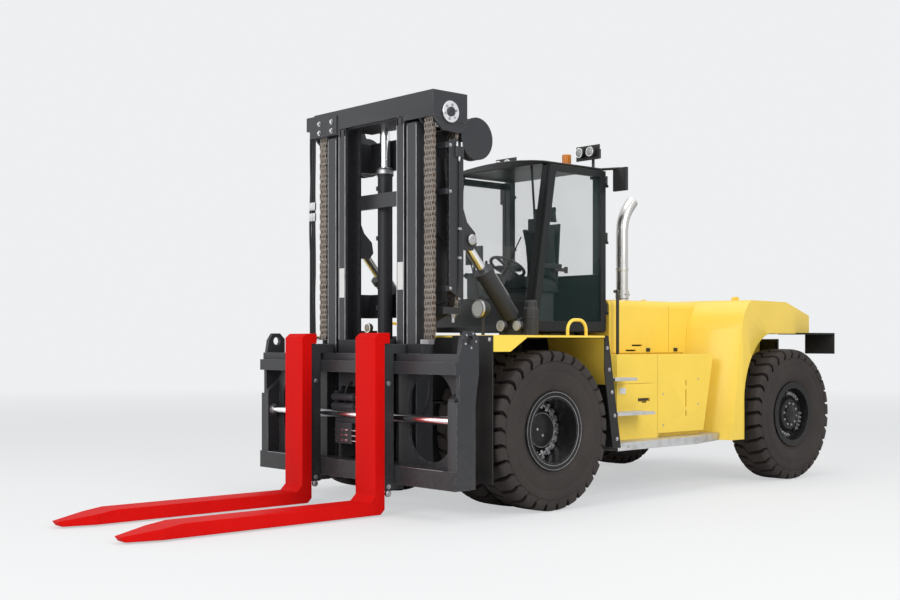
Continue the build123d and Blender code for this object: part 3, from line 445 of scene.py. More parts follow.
solidFinish = {  # paint and width of the rounded edges; * stands for left, then right
    "chassis_frame": ("mastCharcoal", 0.004), "drive_axle": ("axleIron", 0.006),
    "steer_axle": ("axleIron", 0.008), "engine_block": ("axleIron", 0.01),
    "front_fender_*": ("bodyYellow", 0.005), "mudguards": ("flapRubber", 0.003),
    "side_box_*": ("bodyYellow", 0.004), "running_boards": ("stepZinc", 0.003),
    "hood": ("bodyYellow", 0.004), "counterweight": ("bodyYellow", 0.022),
    "rear_grille": ("trimBlack", 0.002), "cab_base": ("cabBlack", 0.006), "cab_posts": ("cabBlack", 0.004),
    "cab_roof": ("cabBlack", 0.012), "cab_glass": ("tintGlass", 0.0), "cab_console": ("consoleGrey", 0.005),
    "tilt_clevises": ("mastCharcoal", 0.004), "lamp_housings": ("trimBlack", 0.004),
    "lamp_lenses": ("lampGlass", 0.002), "beacon": ("beaconAmber", 0.006), "mirrors": ("trimBlack", 0.006),
    "grab_rails": ("trimBlack", 0.0), "outer_mast": ("mastCharcoal", 0.004),
    "lift_barrels": ("mastCharcoal", 0.003), "inner_mast": ("mastCharcoal", 0.004),
    "lift_rods": ("rodChrome", 0.0), "chain_sheaves": ("rodChrome", 0.003),
    "carriage_frame": ("mastCharcoal", 0.005), "guide_shaft": ("rodChrome", 0.003),
    "fork_*": ("forkRed", 0.007), "fork_carrier_*": ("mastCharcoal", 0.005),
    "drive_wheel_*": ("rimBlack", 0.003), "steer_wheel_*": ("rimBlack", 0.003),
    "knuckle_*": ("axleIron", 0.004), "tilt_barrel_*": ("mastCharcoal", 0.003),
    "tilt_rod_*": ("rodChrome", 0.002), "cab_door_*": ("cabBlack", 0.005),
    "door_glass_*": ("tintGlass", 0.0),
}
for stem, (paint, width) in solidFinish.items():
    for node in dict.fromkeys(stem.replace("*", side) for side, sign in bothSides):
        softened(node, paint, width, cutters.get(node))
print("solids dressed")


# leaf chains: plates laced turn about on pins, over the sheaves from the carriage to the outer mast

chain = {"pitch": 0.0508, "plate": 0.01, "column": 0.0118, "columns": 10, "reach": 0.0205, "y": 0.82,
         "frontX": 0.9303, "rearX": 0.6497, "anchorX": 0.952, "sheave": (0.79, 3.7), "bend": 0.1405,
         "pin": 0.0085, "frontLow": 1.6, "rearLow": 1.9}


def chainLink(form, x, z, angle, sideY, odd):
    ends = []
    for end in (1, -1):
        for step in range(6):
            swing = pi * (step / 5 - 0.5) * -1.0
            ends.append((chain["reach"] * sin(swing) * -end,
                         end * (chain["pitch"] / 2 + chain["reach"] * cos(swing))))
    cosine, sine = cos(angle), sin(angle)
    outline = [(x + u * cosine - w * sine, z + u * sine + w * cosine) for u, w in ends]
    for column in range(odd, chain["columns"], 2):
        low = sideY + (column - chain["columns"] / 2) * chain["column"]
        form.prism(outline, low, low + chain["plate"])
    half = chain["columns"] / 2 * chain["column"]
    pinX = x + chain["pitch"] / 2 * sine
    pinZ = z - chain["pitch"] / 2 * cosine
    form.rod((pinX, sideY - half - 0.003, pinZ), (pinX, sideY + half + 0.003, pinZ), chain["pin"], 10)


def chainRun(name, node, x, low):  # both sides' straight run from the anchor up to the sheave
    form = Form()
    count = round((sheaveZ - low) / chain["pitch"])
    for sideY in (chain["y"], -chain["y"]):
        for link in range(count):
            chainLink(form, x, low + (link + 0.5) * (sheaveZ - low) / count, 0.0, sideY, link % 2)
    return form.done(name, None, "chainSteel", [node])


sheaveX, sheaveZ = chain["sheave"]
frontRun = chainRun("chainFrontRuns", "chain_front_runs", chain["frontX"], chain["frontLow"])
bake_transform(frontRun)
rearRun = chainRun("chainRearRuns", "chain_rear_runs", chain["rearX"], chain["rearLow"])
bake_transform(rearRun)
overTop = Form()
for sideY in (chain["y"], -chain["y"]):
    for link in range(9):
        angle = pi * (link + 0.5) / 9
        chainLink(overTop, sheaveX + chain["bend"] * cos(angle), sheaveZ + chain["bend"] * sin(angle), angle,
                  sideY, link % 2)
overTop.done("chainTops", "inner_mast", "chainSteel")
anchors, rearAnchors = Form(), Form()
for y in (chain["y"], -chain["y"]):
    anchors.box((0.93, 1.0), (y - 0.058, y + 0.058), (1.555, 1.6))
    anchors.rod((chain["anchorX"], y, 1.4), (chain["anchorX"], y, 1.56), 0.016)
    for z in (1.44, 1.555):
        anchors.bolt((chain["anchorX"], y, z), (0, 0, -1), 0.014, 0.026)
    rearAnchors.rod((chain["rearX"], y, 1.76), (chain["rearX"], y, 1.9), 0.019)
    rearAnchors.bolt((chain["rearX"], y, 1.84), (0, 0, -1), 0.033, 0.032)
anchors.done("chainAnchors", "carriage", "boltSteel", bevel=0.002)
rearAnchors.done("chainRearAnchors", "outer_mast", "boltSteel", bevel=0.002)
print("chains laced")


# hoses down the far side of the mast, each with its sleeves and end fittings

hose = {"x": 0.953, "rows": (-0.96, -0.994, -1.028), "radius": 0.0115, "low": 1.5, "high": 3.74,
        "waver": 0.006, "sleeves": (2.82, 2.93), "steps": 60}


def hoseLine(form, y, index):
    rings = []
    for step in range(hose["steps"] + 1):
        z = hose["low"] + (hose["high"] - hose["low"]) * step / hose["steps"]
        ease = sin(pi * step / hose["steps"])
        forward = abs(sin(step * 0.155 + index * 1.05))  # clear of the deck as the mast leans back
        cx = hose["x"] + hose["waver"] * ease * forward
        cy = y + hose["waver"] * ease * cos(step * 0.23 + index)
        rings.append([form.spot((cx + hose["radius"] * cos(a), cy + hose["radius"] * sin(a), z))
                      for a in (2 * pi * k / 12 for k in range(12))])
    form.tube(rings)


hoseForm, hoseTops, hoseFeet = Form(), Form(), Form()
for index, y in enumerate(hose["rows"]):
    hoseLine(hoseForm, y, index)
    for z in hose["sleeves"]:
        hoseTops.lathe((hose["x"] + 0.003, y, z), up,
                       [(0.0155, 0), (0.017, 0.01), (0.017, 0.07), (0.0145, 0.08)], 14)
    hoseFeet.lathe((hose["x"], y, 1.495), up, [(0.0125, -0.01), (0.0125, 0.05)], 14)
    hoseFeet.rod((hose["x"] + 0.002, y, 1.49), (1.06, y, 1.41), 0.011)
    hoseFeet.rod((1.05, y, 1.41), (1.092, y, 1.41), 0.016, 6)
hoses = hoseForm.done("mastHoses", None, "hoseRubber", ["mast_hoses"])
sleeves = hoseTops.done("hoseSleeves", None, "boltSteel")
for piece in (hoses, sleeves):
    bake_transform(piece)
hoseFeet.done("hoseElbows", "carriage", "boltSteel")
print("hoses hung")


# crosshead: bolted end box, pin caps, gussets under the beam

crosshead = {"front": 0.985, "side": 0.925, "plate": 0.998, "gusset": 0.085,
             "bolts": [(-0.818, 3.79), (-0.612, 3.787), (-0.818, 3.697), (-0.612, 3.697)]}
headBolts = Form()
for y, z in crosshead["bolts"]:
    headBolts.bolt((crosshead["plate"], y, z), (1, 0, 0), 0.017, 0.018)
for sign in (1, -1):
    headBolts.ringOf((sheaveX, sign * 0.955, sheaveZ), (0, sign, 0), 0.068, 6, 0.01, 0.01)
headBolts.done("crossheadBolts", "inner_mast", "boltSteel")
gussets, front = Form(), crosshead["front"]
for sign in (1, -1):
    for y in (0.405, 0.47):
        low = sheaveZ - crosshead["gusset"]
        gussets.prism([(0.9, sheaveZ), (front, sheaveZ), (front, low), (0.965, low)],
                      *across(sign, y, y + 0.02))
    gussets.lathe((sheaveX, sign * 0.955, sheaveZ), (0, sign, 0),
                  [(0.045, 0), (0.045, 0.012), (0.03, 0.014), (0.012, 0.014), (0.01, 0.004)], 24)
    gussets.prism([(0.56, 3.61), (front, 3.65), (front, 3.662), (0.56, 3.622)],
                  *across(sign, crosshead["side"], crosshead["side"] + 0.006))
gussets.box((0.98, crosshead["plate"]), (-0.985, -0.535), (3.655, 3.842))
gussets.done("crossheadGussets", "inner_mast", "mastCharcoal", bevel=0.002)


# shiny steel strips down the rail fronts as painted highlight lines, lines beside the lift cylinders, and guards
# beside the chains

for name, body, places, top in (("railHighlightStrips", "outer_mast", (0.5535, 0.684), 3.6),
                                ("innerHighlightStrips", "inner_mast", (0.4025, 0.502), 3.62)):
    highlightStrips = Form()
    for sign in (1, -1):
        for y in places:
            # painted highlight: a thin strip of shiny steel down each rail front
            highlightStrips.box((0.9835, 0.9862), across(sign, y, y + 0.0045), (0.36, top))
    highlightStrips.done(name, body, "boltSteel")
liftLines = [[(0.6, sign * y, 0.8), (0.6, sign * y, 1.4), (0.6, sign * (y + 0.01), 2.4),
              (0.6, sign * y, 3.26), (0.64, sign * (y - 0.05), 3.29)] for sign in (1, -1) for y in (0.305, 0.335)]
piping("liftLines", liftLines, 0.012, "outer_mast", "hoseRubber")
clamps = Form()
for sign in (1, -1):
    for z in (1.1, 1.9, 2.6, 3.1):
        clamps.box((0.575, 0.63), across(sign, 0.272, 0.36), (z, z + 0.045))
    clamps.lathe((0.64, sign * 0.2, 3.3), up,
                 [(0.08, -0.055), (0.086, -0.05), (0.086, -0.012), (0.072, 0.012), (0.056, 0.014)], 32)
clamps.done("liftClamps", "outer_mast", "boltSteel", bevel=0.003)
guardLook = {"x": (0.585, 0.765), "y": (0.893, 0.9), "z": (1.96, 3.46), "brackets": (2.05, 2.95, 3.38),
             "sidePlate": (0.687, 0.701), "lineY": 0.912}
guards, guardBright = Form(), Form()
lowX, highX = guardLook["x"]
near, far = guardLook["y"]
lowZ, highZ = guardLook["z"]
for sign in (1, -1):
    guards.prism([(lowX, lowZ), (highX, lowZ + 0.1), (highX, highZ), (lowX + 0.06, highZ),
                  (lowX, highZ - 0.12)], *across(sign, near, far))
    guards.prism([(0.585, 1.84), (0.8, 1.74), (0.8, 3.42), (0.635, 3.42), (0.585, 3.28)],
                 *across(sign, *guardLook["sidePlate"]))
    for z in guardLook["brackets"]:
        guards.box((0.735, 0.8), across(sign, 0.686, near), (z, z + 0.05))
        guardBright.bolt((0.75, sign * far, z + 0.025), (0, sign, 0), 0.011, 0.01)
    guards.box((0.6, 0.7), across(sign, far, 0.922), (3.3, 3.4))
    for x, z in ((0.622, 3.4), (0.678, 3.4), (0.65, 3.3)):
        guardBright.lathe((x, sign * guardLook["lineY"], z), (0, 0, 1 if z > 3.35 else -1),
                          [(0.012, -0.004), (0.012, 0.02), (0.009, 0.022), (0.009, 0.04)], 12)
    for z in (2.35, 2.62):
        guardBright.box((0.632, 0.668), across(sign, far, 0.926), (z, z + 0.022))
guards.done("chainGuards", "outer_mast", "mastCharcoal", bevel=0.0025)
guardBright.done("guardFittings", "outer_mast", "boltSteel", bevel=0.001)
lineRoute = [(0.65, guardLook["lineY"], 3.27), (0.65, guardLook["lineY"], 2.9),
             (0.65, guardLook["lineY"], 2.4), (0.655, 0.908, 2.05), (0.7, 0.86, 1.95), (0.76, 0.7, 1.93)]
guardLines = [[(x, sign * y, z) for x, y, z in lineRoute] for sign in (1, -1)]
piping("guardLines", guardLines, 0.009, "outer_mast", "hoseRubber")
plates = Form()
plates.box((0.9845, 0.9868), (0.415, 0.495), (2.07, 2.33))
plates.box((0.9845, 0.9868), (-0.495, -0.415), (2.02, 2.31))
plates.done("railPlates", "inner_mast", "plateWhite", bevel=0.001)
print("mast trimmed")


# carriage: valve block with its pipes, shift cylinders, sloped webs, collars and bolts, fork keepers

carriageLook = {"valveY": (-0.28, -0.02), "valveZ": (0.6, 0.8), "pipeZ": (0.63, 0.68, 0.73),
                "ramX": 1.155, "ramZ": (1.045, 0.955), "forkY": 0.565}
ramX = carriageLook["ramX"]
valve = Form()
valve.box((1.095, 1.2), carriageLook["valveY"], carriageLook["valveZ"])
valve.box((1.095, 1.17), (-0.31, 0.01), (0.8, 0.92))
for z in carriageLook["ramZ"]:
    valve.rod((ramX, -0.36, z), (ramX, -0.02, z), 0.036, 20)
    valve.lathe((ramX, -0.02, z), (0, 1, 0), [(0.042, -0.04), (0.042, 0), (0.03, 0.008)], 20)
    valve.lathe((ramX, 0.36, z), (0, 1, 0), [(0.032, -0.03), (0.032, 0.03)], 20)
for y in (-0.36, 0.36):
    valve.box((1.09, 1.13), (y - 0.03, y + 0.03), (0.9, 1.1))
valve.done("valveBlock", "carriage", "mastCharcoal", bevel=0.004)
rams = Form()
for z in carriageLook["ramZ"]:
    rams.rod((ramX, -0.03, z), (ramX, 0.35, z), 0.016)
for z in carriageLook["pipeZ"]:
    rams.rod((1.19, -0.3, z), (1.19, 0.33, z), 0.008, 10)
    for y in (-0.25, -0.17, -0.1):
        rams.rod((1.19, y - 0.018, z), (1.19, y + 0.018, z), 0.015, 6)
rams.done("shiftRams", "carriage", "rodChrome")
slopes = Form()
for sign in (1, -1):
    slopes.prism([(1.012, 1.045), (1.228, 1.045), (1.228, 1.075), (1.05, 1.2), (1.012, 1.2)],
                 *across(sign, 1.403, 1.478))
slopes.done("carriageSlopes", "carriage", "mastCharcoal", bevel=0.005)
carriageBolts = Form()
for sign in (1, -1):
    carriageBolts.lathe((ramX, sign * 1.3995, 0.88), (0, -sign, 0),
                        [(0.058, -0.002), (0.058, 0.008), (0.05, 0.012)], 28)
    carriageBolts.ringOf((1.07, sign * 1.521, 1.59), (0, sign, 0), 0.066, 5, 0.007, 0.006)
    carriageBolts.box((1.252, 1.2535), across(sign, 0.72, 1.36), (0.446, 0.449))
carriageBolts.done("carriageBolts", "carriage", "boltSteel")
carriageHoses = [
    [(1.05, 0.1, 1.2), (1.14, 0.1, 1.18), (1.17, 0.06, 1.02), (1.14, -0.05, 0.9), (1.12, -0.12, 0.82)],
    [(1.05, 0.2, 1.2), (1.15, 0.2, 1.17), (1.19, 0.14, 0.98), (1.16, 0.02, 0.86), (1.13, -0.06, 0.82)],
    [(1.05, -0.15, 1.2), (1.13, -0.15, 1.18), (1.15, -0.18, 1.1), (1.13, -0.2, 0.95), (1.12, -0.2, 0.9)],
    [(1.06, 0.95, 1.29), (1.07, 0.97, 1.14), (1.06, 0.93, 1.0), (1.05, 0.8, 0.86), (1.05, 0.64, 0.78)],
]
piping("carriageHoses", carriageHoses, 0.013, "carriage", "hoseRubber")
for side, sign in bothSides:
    keeper = Form()
    y = sign * carriageLook["forkY"]
    for z in (0.26, 1.2):
        for out in (-1, 1):
            keeper.bolt((1.31, y + out * 0.119, z), (0, out, 0), 0.016, 0.014)
    keeper.lathe((1.33, y + 0.12, 0.2), (0, 1, 0), [(0.03, 0.0), (0.03, 0.024), (0.022, 0.03)], 20)
    keeper.box((1.255, 1.368), (y - 0.1, y + 0.1), (1.505, 1.557))
    keeper.done("forkKeeper." + side, "fork_" + side, "boltSteel", bevel=0.002)
print("carriage fitted")


# wheels: painted highlight rings on the rim lips and hub cover, wedge clamps, studs and nuts

hubLook = {"clamps": 20, "inner": 0.205, "outer": 0.294, "back": 1.186, "face": 1.285, "nutRing": 0.24,
           # radius and place along Y of the painted highlight rings on the lips and hub cover
           "lipHighlightRings": [(0.364, 1.5183), (0.324, 1.5183), (0.1625, 1.35)],
           "darkLip": [(0.352, 0.0), (0.3665, 0.002), (0.3665, 0.01)]}
inner, outer, count, nutRing = (hubLook[key] for key in ("inner", "outer", "clamps", "nutRing"))
for side, sign in bothSides:
    out = (0, sign, 0)
    wedges, studsAndLipHighlights, dark, nuts, lip = (Form() for kind in range(5))
    for step in range(count):
        angle = 2 * pi * step / count
        cosine, sine = cos(angle), sin(angle)
        corners = [(inner, -0.016), (outer, -0.021), (outer, 0.021), (inner, 0.016)]
        outline = [(r * cosine - t * sine, wheelZ + r * sine + t * cosine) for r, t in corners]
        wedges.prism(outline, *across(sign, hubLook["back"], hubLook["face"]))
    wedges.done("driveClamps." + side, "drive_wheels_" + side, "stepZinc", bevel=0.004)
    studsAndLipHighlights.ringOf((0.0, sign * hubLook["face"], wheelZ), out, (inner + outer) / 2, count, 0.016, 0.034)
    # painted highlight: rings of shiny steel on the black rim lips and hub cover, where the rim only shines
    for ring, y in hubLook["lipHighlightRings"]:
        studsAndLipHighlights.lathe((0.0, sign * y, wheelZ), out,
                     [(ring - 0.004, -0.003), (ring - 0.003, 0.0015), (ring, 0.002), (ring + 0.001, -0.003)],
                     72, ring=True)
    for x, z in ((0.06, 0.76), (-0.01, 0.7)):
        studsAndLipHighlights.bolt((x, sign * 1.35, z), out, 0.008, 0.006)
    studsAndLipHighlights.done("driveStudsAndLipHighlights." + side, "drive_wheels_" + side, "boltSteel")
    for y in (1.506, 1.494):
        dark.lathe((0.0, sign * y, wheelZ), out, hubLook["darkLip"] + [(0.352, 0.012)], 64, ring=True)
    dark.lathe((0.0, sign * 1.35, wheelZ), out,
               [(0.15, -0.002), (0.152, 0.003), (0.16, 0.003), (0.162, -0.002)], 48, ring=True)
    dark.rod((0.22, sign * 1.3, 0.97), (0.235, sign * 1.36, 0.985), 0.007, 10)
    dark.done("driveLips." + side, "drive_wheels_" + side, "rimBlack", bevel=0.0015)
    for group in range(4):
        for step in range(5):
            angle = pi / 2 * group + 0.2 * (step - 2) + 0.4
            place = (steerX + nutRing * cos(angle), sign * 1.345, wheelZ + nutRing * sin(angle))
            nuts.bolt(place, out, 0.014, 0.024)
    nuts.ringOf((steerX, sign * 1.38, wheelZ), out, 0.125, 10, 0.009, 0.012)
    nuts.done("steerNuts." + side, "steer_wheel_" + side, "boltSteel")
    lip.lathe((steerX, sign * 1.4145, wheelZ), out, hubLook["darkLip"] + [(0.352, 0.0125)], 64, ring=True)
    lip.lathe((steerX, sign * 1.38, wheelZ), out, [(0.1, 0.0), (0.1, 0.014), (0.08, 0.024), (0.03, 0.026)],
              36)
    lip.done("steerLips." + side, "steer_wheel_" + side, "rimBlack", bevel=0.0015)
print("wheels trimmed")


# body: bolts, the fenders' inner panels, exhaust stack, plates, latches, rear lamps and tow pin

stackLook = {"x": -2.08, "y": 0.56, "foot": 1.8, "straight": 2.4, "bend": 2.78, "sweep": 0.42, "lean": 0.75,
             "tail": 0.085, "radius": 0.066, "wall": 0.006, "clampBolts": (0.2, 1.25, 2.3),
             "clampRadius": 0.075}
stackX, stackY, lean, sweep = (stackLook[key] for key in ("x", "y", "lean", "sweep"))
bodyBolts = Form()
for sign in (1, -1):
    for x, z in ((-0.755, 1.52), (-0.785, 1.31), (-0.825, 1.09), (-0.865, 0.86), (-0.9, 0.63)):
        bodyBolts.bolt((x, sign * 1.5, z), (0, sign, 0), 0.013, 0.01)
    for x, z in ((-2.59, 1.18), (-2.59, 0.91), (-1.99, 1.03), (-1.99, 0.705)):
        bodyBolts.bolt((x, sign * 1.2, z), (0, sign, 0), 0.007, 0.005)
    for y in (1.14, 1.3, 1.46):
        bodyBolts.bolt((0.782, sign * y, 1.6), (1, 0, 0), 0.012, 0.008)
    for x, y in ((-1.15, 1.438), (-1.55, 1.415), (-1.95, 1.4), (-2.35, 1.386)):
        bodyBolts.bolt((x, sign * y, 0.54), (0, sign, 0), 0.009, 0.006)
for angle in stackLook["clampBolts"]:
    cosine, sine, reach = cos(angle), sin(angle), stackLook["clampRadius"]
    bodyBolts.bolt((stackX + reach * cosine, stackY + reach * sine, 2.1), (cosine, sine, 0), 0.01, 0.012)
bodyBolts.done("bodyBolts", "chassis", "boltSteel")

arch = Form()  # the fender's inner panel, hung from the deck ahead of the rear flap
for sign in (1, -1):
    arch.prism([(-0.728, 1.619), (-0.737, 1.619), (-0.823, 1.16), (-0.814, 1.16)], *across(sign, 0.72, 1.479))
arch.done("fenderPanels", "chassis", "bodyYellow", bevel=0.002)
stackPath = [(0.0, stackLook["foot"]), (0.0, stackLook["straight"])]
for step in range(13):
    angle = lean * step / 12
    stackPath.append((-sweep * (1 - cos(angle)), stackLook["bend"] + sweep * sin(angle)))
endX, endZ = stackPath[-1]
stackPath.append((endX - stackLook["tail"] * sin(lean), endZ + stackLook["tail"] * cos(lean)))
stackTube = Form()
walls = [(k, stackLook["radius"]) for k in range(len(stackPath))]  # up the outside, then down the bore
walls += [(k, stackLook["radius"] - stackLook["wall"]) for k in range(len(stackPath) - 1, 3, -1)]
rings = []
for k, radius in walls:
    angle = lean * min(1.0, max(0.0, (k - 2) / 12))
    x, z = stackPath[k]
    rings.append([])
    for step in range(40):
        turn = 2 * pi * step / 40
        along = radius * cos(turn)
        rings[-1].append(stackTube.spot((stackX + x + along * cos(angle), stackY + radius * sin(turn),
                                         z + along * sin(angle))))
stackTube.tube(rings)
stackTube.done("exhaustStack", "chassis", "stackSteel", ["exhaust_stack"])
stack = Form()
stack.lathe((stackX, stackY, 2.05), up, [(0.067, 0), (0.076, 0.006), (0.076, 0.09), (0.067, 0.096)], 40)
stack.lathe((stackX, stackY, 2.36), up, [(0.0665, 0), (0.071, 0.004), (0.071, 0.03), (0.0665, 0.034)], 40)
stack.done("stackClamps", "chassis", "stackSteel")

boxPlates, latches, tail = Form(), Form(), Form()
for sign in (1, -1):
    boxPlates.box((-1.385, -1.285), across(sign, 1.1995, 1.2025), (1.05, 1.11))
    latches.box((-1.755, -1.595), across(sign, 1.175, 1.192), (0.972, 0.99))
    for x in (-2.3, -2.78):
        latches.box((x - 0.03, x + 0.03), across(sign, 0.739, 0.752), (1.475, 1.515))
    tail.box((-5.0, -4.985), across(sign, 0.66, 0.88), (1.7, 1.79))
boxPlates.done("boxPlates", "chassis", "plateWhite", bevel=0.001)
latches.done("panelLatches", "chassis", "trimBlack", bevel=0.003)
tail.done("tailHousings", "chassis", "trimBlack", bevel=0.004)
for name, paint, y in (("tailRed", "lampRed", 0.715), ("tailAmber", "beaconAmber", 0.825)):
    tail = Form()
    for sign in (1, -1):
        tail.lathe((-4.9995, sign * y, 1.745), (-1, 0, 0), [(0.038, -0.006), (0.038, 0.0), (0.03, 0.0004)],
                   28)
    tail.done(name, "chassis", paint)
towPin = Form()
towPin.lathe((-4.92, 0.0, 0.52), up,
             [(0.038, 0), (0.038, 0.19), (0.055, 0.195), (0.055, 0.215), (0.02, 0.225)], 28)
towPin.done("towPin", "chassis", "boltSteel")
print("body fitted")


# cab: padded seat, controls, wipers, door handles

seatLook = {"cap": 0.024, "voxel": 0.008, "pressure": 4.0, "crown": 0.028}


def pad(name, middle, half, lean, replaced=()):  # a crowned pad, swelled as cloth
    form = bmesh.new()
    bmesh.ops.create_cube(form, size=2.0)
    bmesh.ops.subdivide_edges(form, edges=form.edges, cuts=9, use_grid_fill=True)
    tilt = Matrix.Rotation(lean, 4, "Y")
    for vert in form.verts:
        u, v, w = vert.co
        pull = 1.0 - 0.05 * (1 - u * u) * v * v
        edge = 1.0 - 0.1 * max(abs(u), abs(v)) ** 4
        crown = seatLook["crown"] * (1 - u * u) * (1 - v * v)
        local = Vector((u * half[0] * (1.0 - 0.05 * (1 - v * v) * u * u), v * half[1] * pull,
                        w * half[2] * edge + (crown if w > 0 else 0)))
        vert.co = tilt @ local + Vector((middle[0] + axleX, middle[1], middle[2]))
    mesh = bpy.data.meshes.new(name)
    form.to_mesh(mesh)
    form.free()
    piece = finish(name, mesh, None, "padDark")
    swell(piece)
    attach(piece, "chassis")
    if replaced:
        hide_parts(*replaced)
    piece.data.shade_smooth()
    soft = piece.modifiers.new("soft", "SUBSURF")
    soft.levels = soft.render_levels = 1


def swell(piece):
    voxels = piece.modifiers.new("voxels", "REMESH")
    voxels.mode = "VOXEL"
    voxels.voxel_size = seatLook["voxel"]
    piece.data = settled(piece)
    piece.modifiers.clear()
    start = [vert.co.copy() for vert in piece.data.vertices]
    cloth = piece.modifiers.new("cloth", "CLOTH")
    cloth.settings.use_pressure = True
    cloth.settings.uniform_pressure_force = seatLook["pressure"]
    cloth.settings.effector_weights.gravity = 0.0
    for moment in range(1, 21):
        bpy.context.scene.frame_set(moment)
    blown = settled(piece)
    piece.modifiers.clear()
    for vert, before in zip(blown.vertices, start):
        move = vert.co - before
        if move.length > seatLook["cap"]:
            vert.co = before + move.normalized() * seatLook["cap"]
    piece.data = blown
    bpy.context.scene.frame_set(1)


pad("seatCushion", (-1.15, 0.0, 2.185), (0.245, 0.235, 0.05), -0.05, ["operator_seat"])
pad("seatBack", (-1.375, 0.0, 2.54), (0.3, 0.225, 0.038), -pi / 2 + 0.12)
pad("seatHeadrest", (-1.452, 0.0, 2.966), (0.085, 0.15, 0.028), -pi / 2 + 0.1)
seatShell = Form()
seatShell.prism([(-1.42, 2.12), (-0.9, 2.12), (-0.9, 2.135), (-1.42, 2.135)], -0.24, 0.24)
seatShell.prism([(-1.415, 2.13), (-1.395, 2.13), (-1.445, 2.86), (-1.465, 2.86)], -0.22, 0.22)
for y in (-0.05, 0.05):
    seatShell.rod((-1.437, y, 2.84), (-1.428, y, 2.92), 0.008)
for sign in (1, -1):
    seatShell.box((-1.36, -1.02), across(sign, 0.275, 0.335), (2.36, 2.415))
seatShell.done("seatShell", "chassis", "trimBlack", bevel=0.006)

controls = Form()
controls.box((-0.8, -0.775), (-0.56, -0.3), (2.42, 2.62))
controls.rod((-0.79, -0.43, 2.33), (-0.79, -0.43, 2.43), 0.014)
controls.box((-0.86, -0.835), (0.34, 0.52), (2.72, 2.86))
controls.rod((-0.845, 0.43, 2.86), (-0.8, 0.43, 3.4), 0.012)
lever = [(0.02, 0), (0.016, 0.02), (0.01, 0.03), (0.01, 0.08), (0.017, 0.1), (0.014, 0.13), (0.004, 0.14)]
for y in (-0.52, -0.45, -0.38):
    controls.lathe((-0.92, y, 2.33), up, lever, 16)
controls.box((-0.7, -0.56), (-0.6, 0.6), (1.98, 2.04))
for y in (-0.1, 0.12):
    controls.prism([(-0.62, 1.76), (-0.55, 1.84), (-0.56, 1.85), (-0.63, 1.77)], y - 0.04, y + 0.04)
controls.done("cabControls", "chassis", "trimBlack", bevel=0.004)

wiperLook = {"screenX": -0.47, "slope": -0.29 / 1.72, "rise": 0.36, "arm": 0.62}  # slope: back per metre up
slope = wiperLook["slope"]
foot = wiperLook["screenX"] + slope * wiperLook["rise"]
cabTrim = Form()
for sign in (1, -1):
    cabTrim.rod((foot - 0.02, sign * 0.1, 2.04),
                (foot - 0.02 + slope * wiperLook["arm"], sign * 0.42, 2.04 + wiperLook["arm"]), 0.007, 8)
    cabTrim.box((foot + slope * 0.1 - 0.018, foot + slope * 0.1 - 0.008), across(sign, 0.08, 0.12),
                (2.03, 2.06))
cabTrim.done("wipers", "chassis", "trimBlack")
for side, sign in bothSides:
    handle = Form()
    handle.box((-0.98, -0.8), across(sign, 0.7455, 0.768), (2.3, 2.335))
    handle.box((-0.99, -0.955), across(sign, 0.744, 0.764), (2.285, 2.35))
    for z in (1.925, 1.965, 2.675, 2.715, 3.275, 3.315):
        handle.bolt((-1.585, sign * 0.745, z), (0, sign, 0), 0.008, 0.006)
    handle.done("doorHandle." + side, "door_" + side, "trimBlack", bevel=0.003)
print("cab fitted")


# lamps, beacon foot, tilt pins and lines, fluid tank

lampLook = {"round": [(-1.405, 0.545, 3.585), (-1.405, 0.695, 3.585), (0.215, 1.022, 1.73),
                      (0.215, 1.237, 1.73)],
            "bowl": [(0.0286, -0.052), (0.0468, -0.035), (0.052, -0.012), (0.052, 0.004)],
            "lens": [(0.045, 0.003), (0.043, 0.008), (0.026, 0.013), (0.008, 0.015)],
            "rim": [(0.05, 0.0), (0.05, 0.012), (0.044, 0.012), (0.042, 0.004)],
            "headRim": [(0.086, -0.02), (0.086, 0.004), (0.076, 0.004), (0.076, -0.004)]}
bowls, roundLenses, lampTrim = Form(), Form(), Form()
for sign in (1, -1):
    for x, y, z in lampLook["round"]:
        bowls.lathe((x, sign * y, z), (1, 0, 0), lampLook["bowl"], 32)
        roundLenses.lathe((x, sign * y, z), (1, 0, 0), lampLook["lens"], 32)
        lampTrim.lathe((x, sign * y, z), (1, 0, 0), lampLook["rim"], 32, ring=True)
    bowls.box((-1.4635, -1.452), across(sign, 0.455, 0.785), (3.505, 3.66))
    bowls.box((0.15, 0.166), across(sign, 0.94, 1.32), (1.638, 1.7))
    for y in (1.022, 1.237):
        bowls.box((0.15, 0.2), across(sign, y - 0.012, y + 0.012), (1.66, 1.7))
    lampTrim.lathe((0.501, sign * 1.0, 1.89), (1, 0, 0), lampLook["headRim"], 36, ring=True)
bowls.done("lampBowls", "chassis", "trimBlack", bevel=0.003)
roundLenses.done("roundLenses", "chassis", "lampGlass")
lampTrim.done("lampRims", "chassis", "stackSteel")
beaconFoot = Form()
beaconFoot.lathe((-1.47, 0.3, 3.45), up, [(0.06, -0.01), (0.06, 0.025), (0.052, 0.03)], 28)
beaconFoot.done("beaconFoot", "chassis", "trimBlack")
rearEye = Form()
rearEye.box((-1.655, -1.585), (0.53, 0.6), (3.32, 3.375))
rearEye.done("rearEye", "chassis", "trimBlack", bevel=0.006)

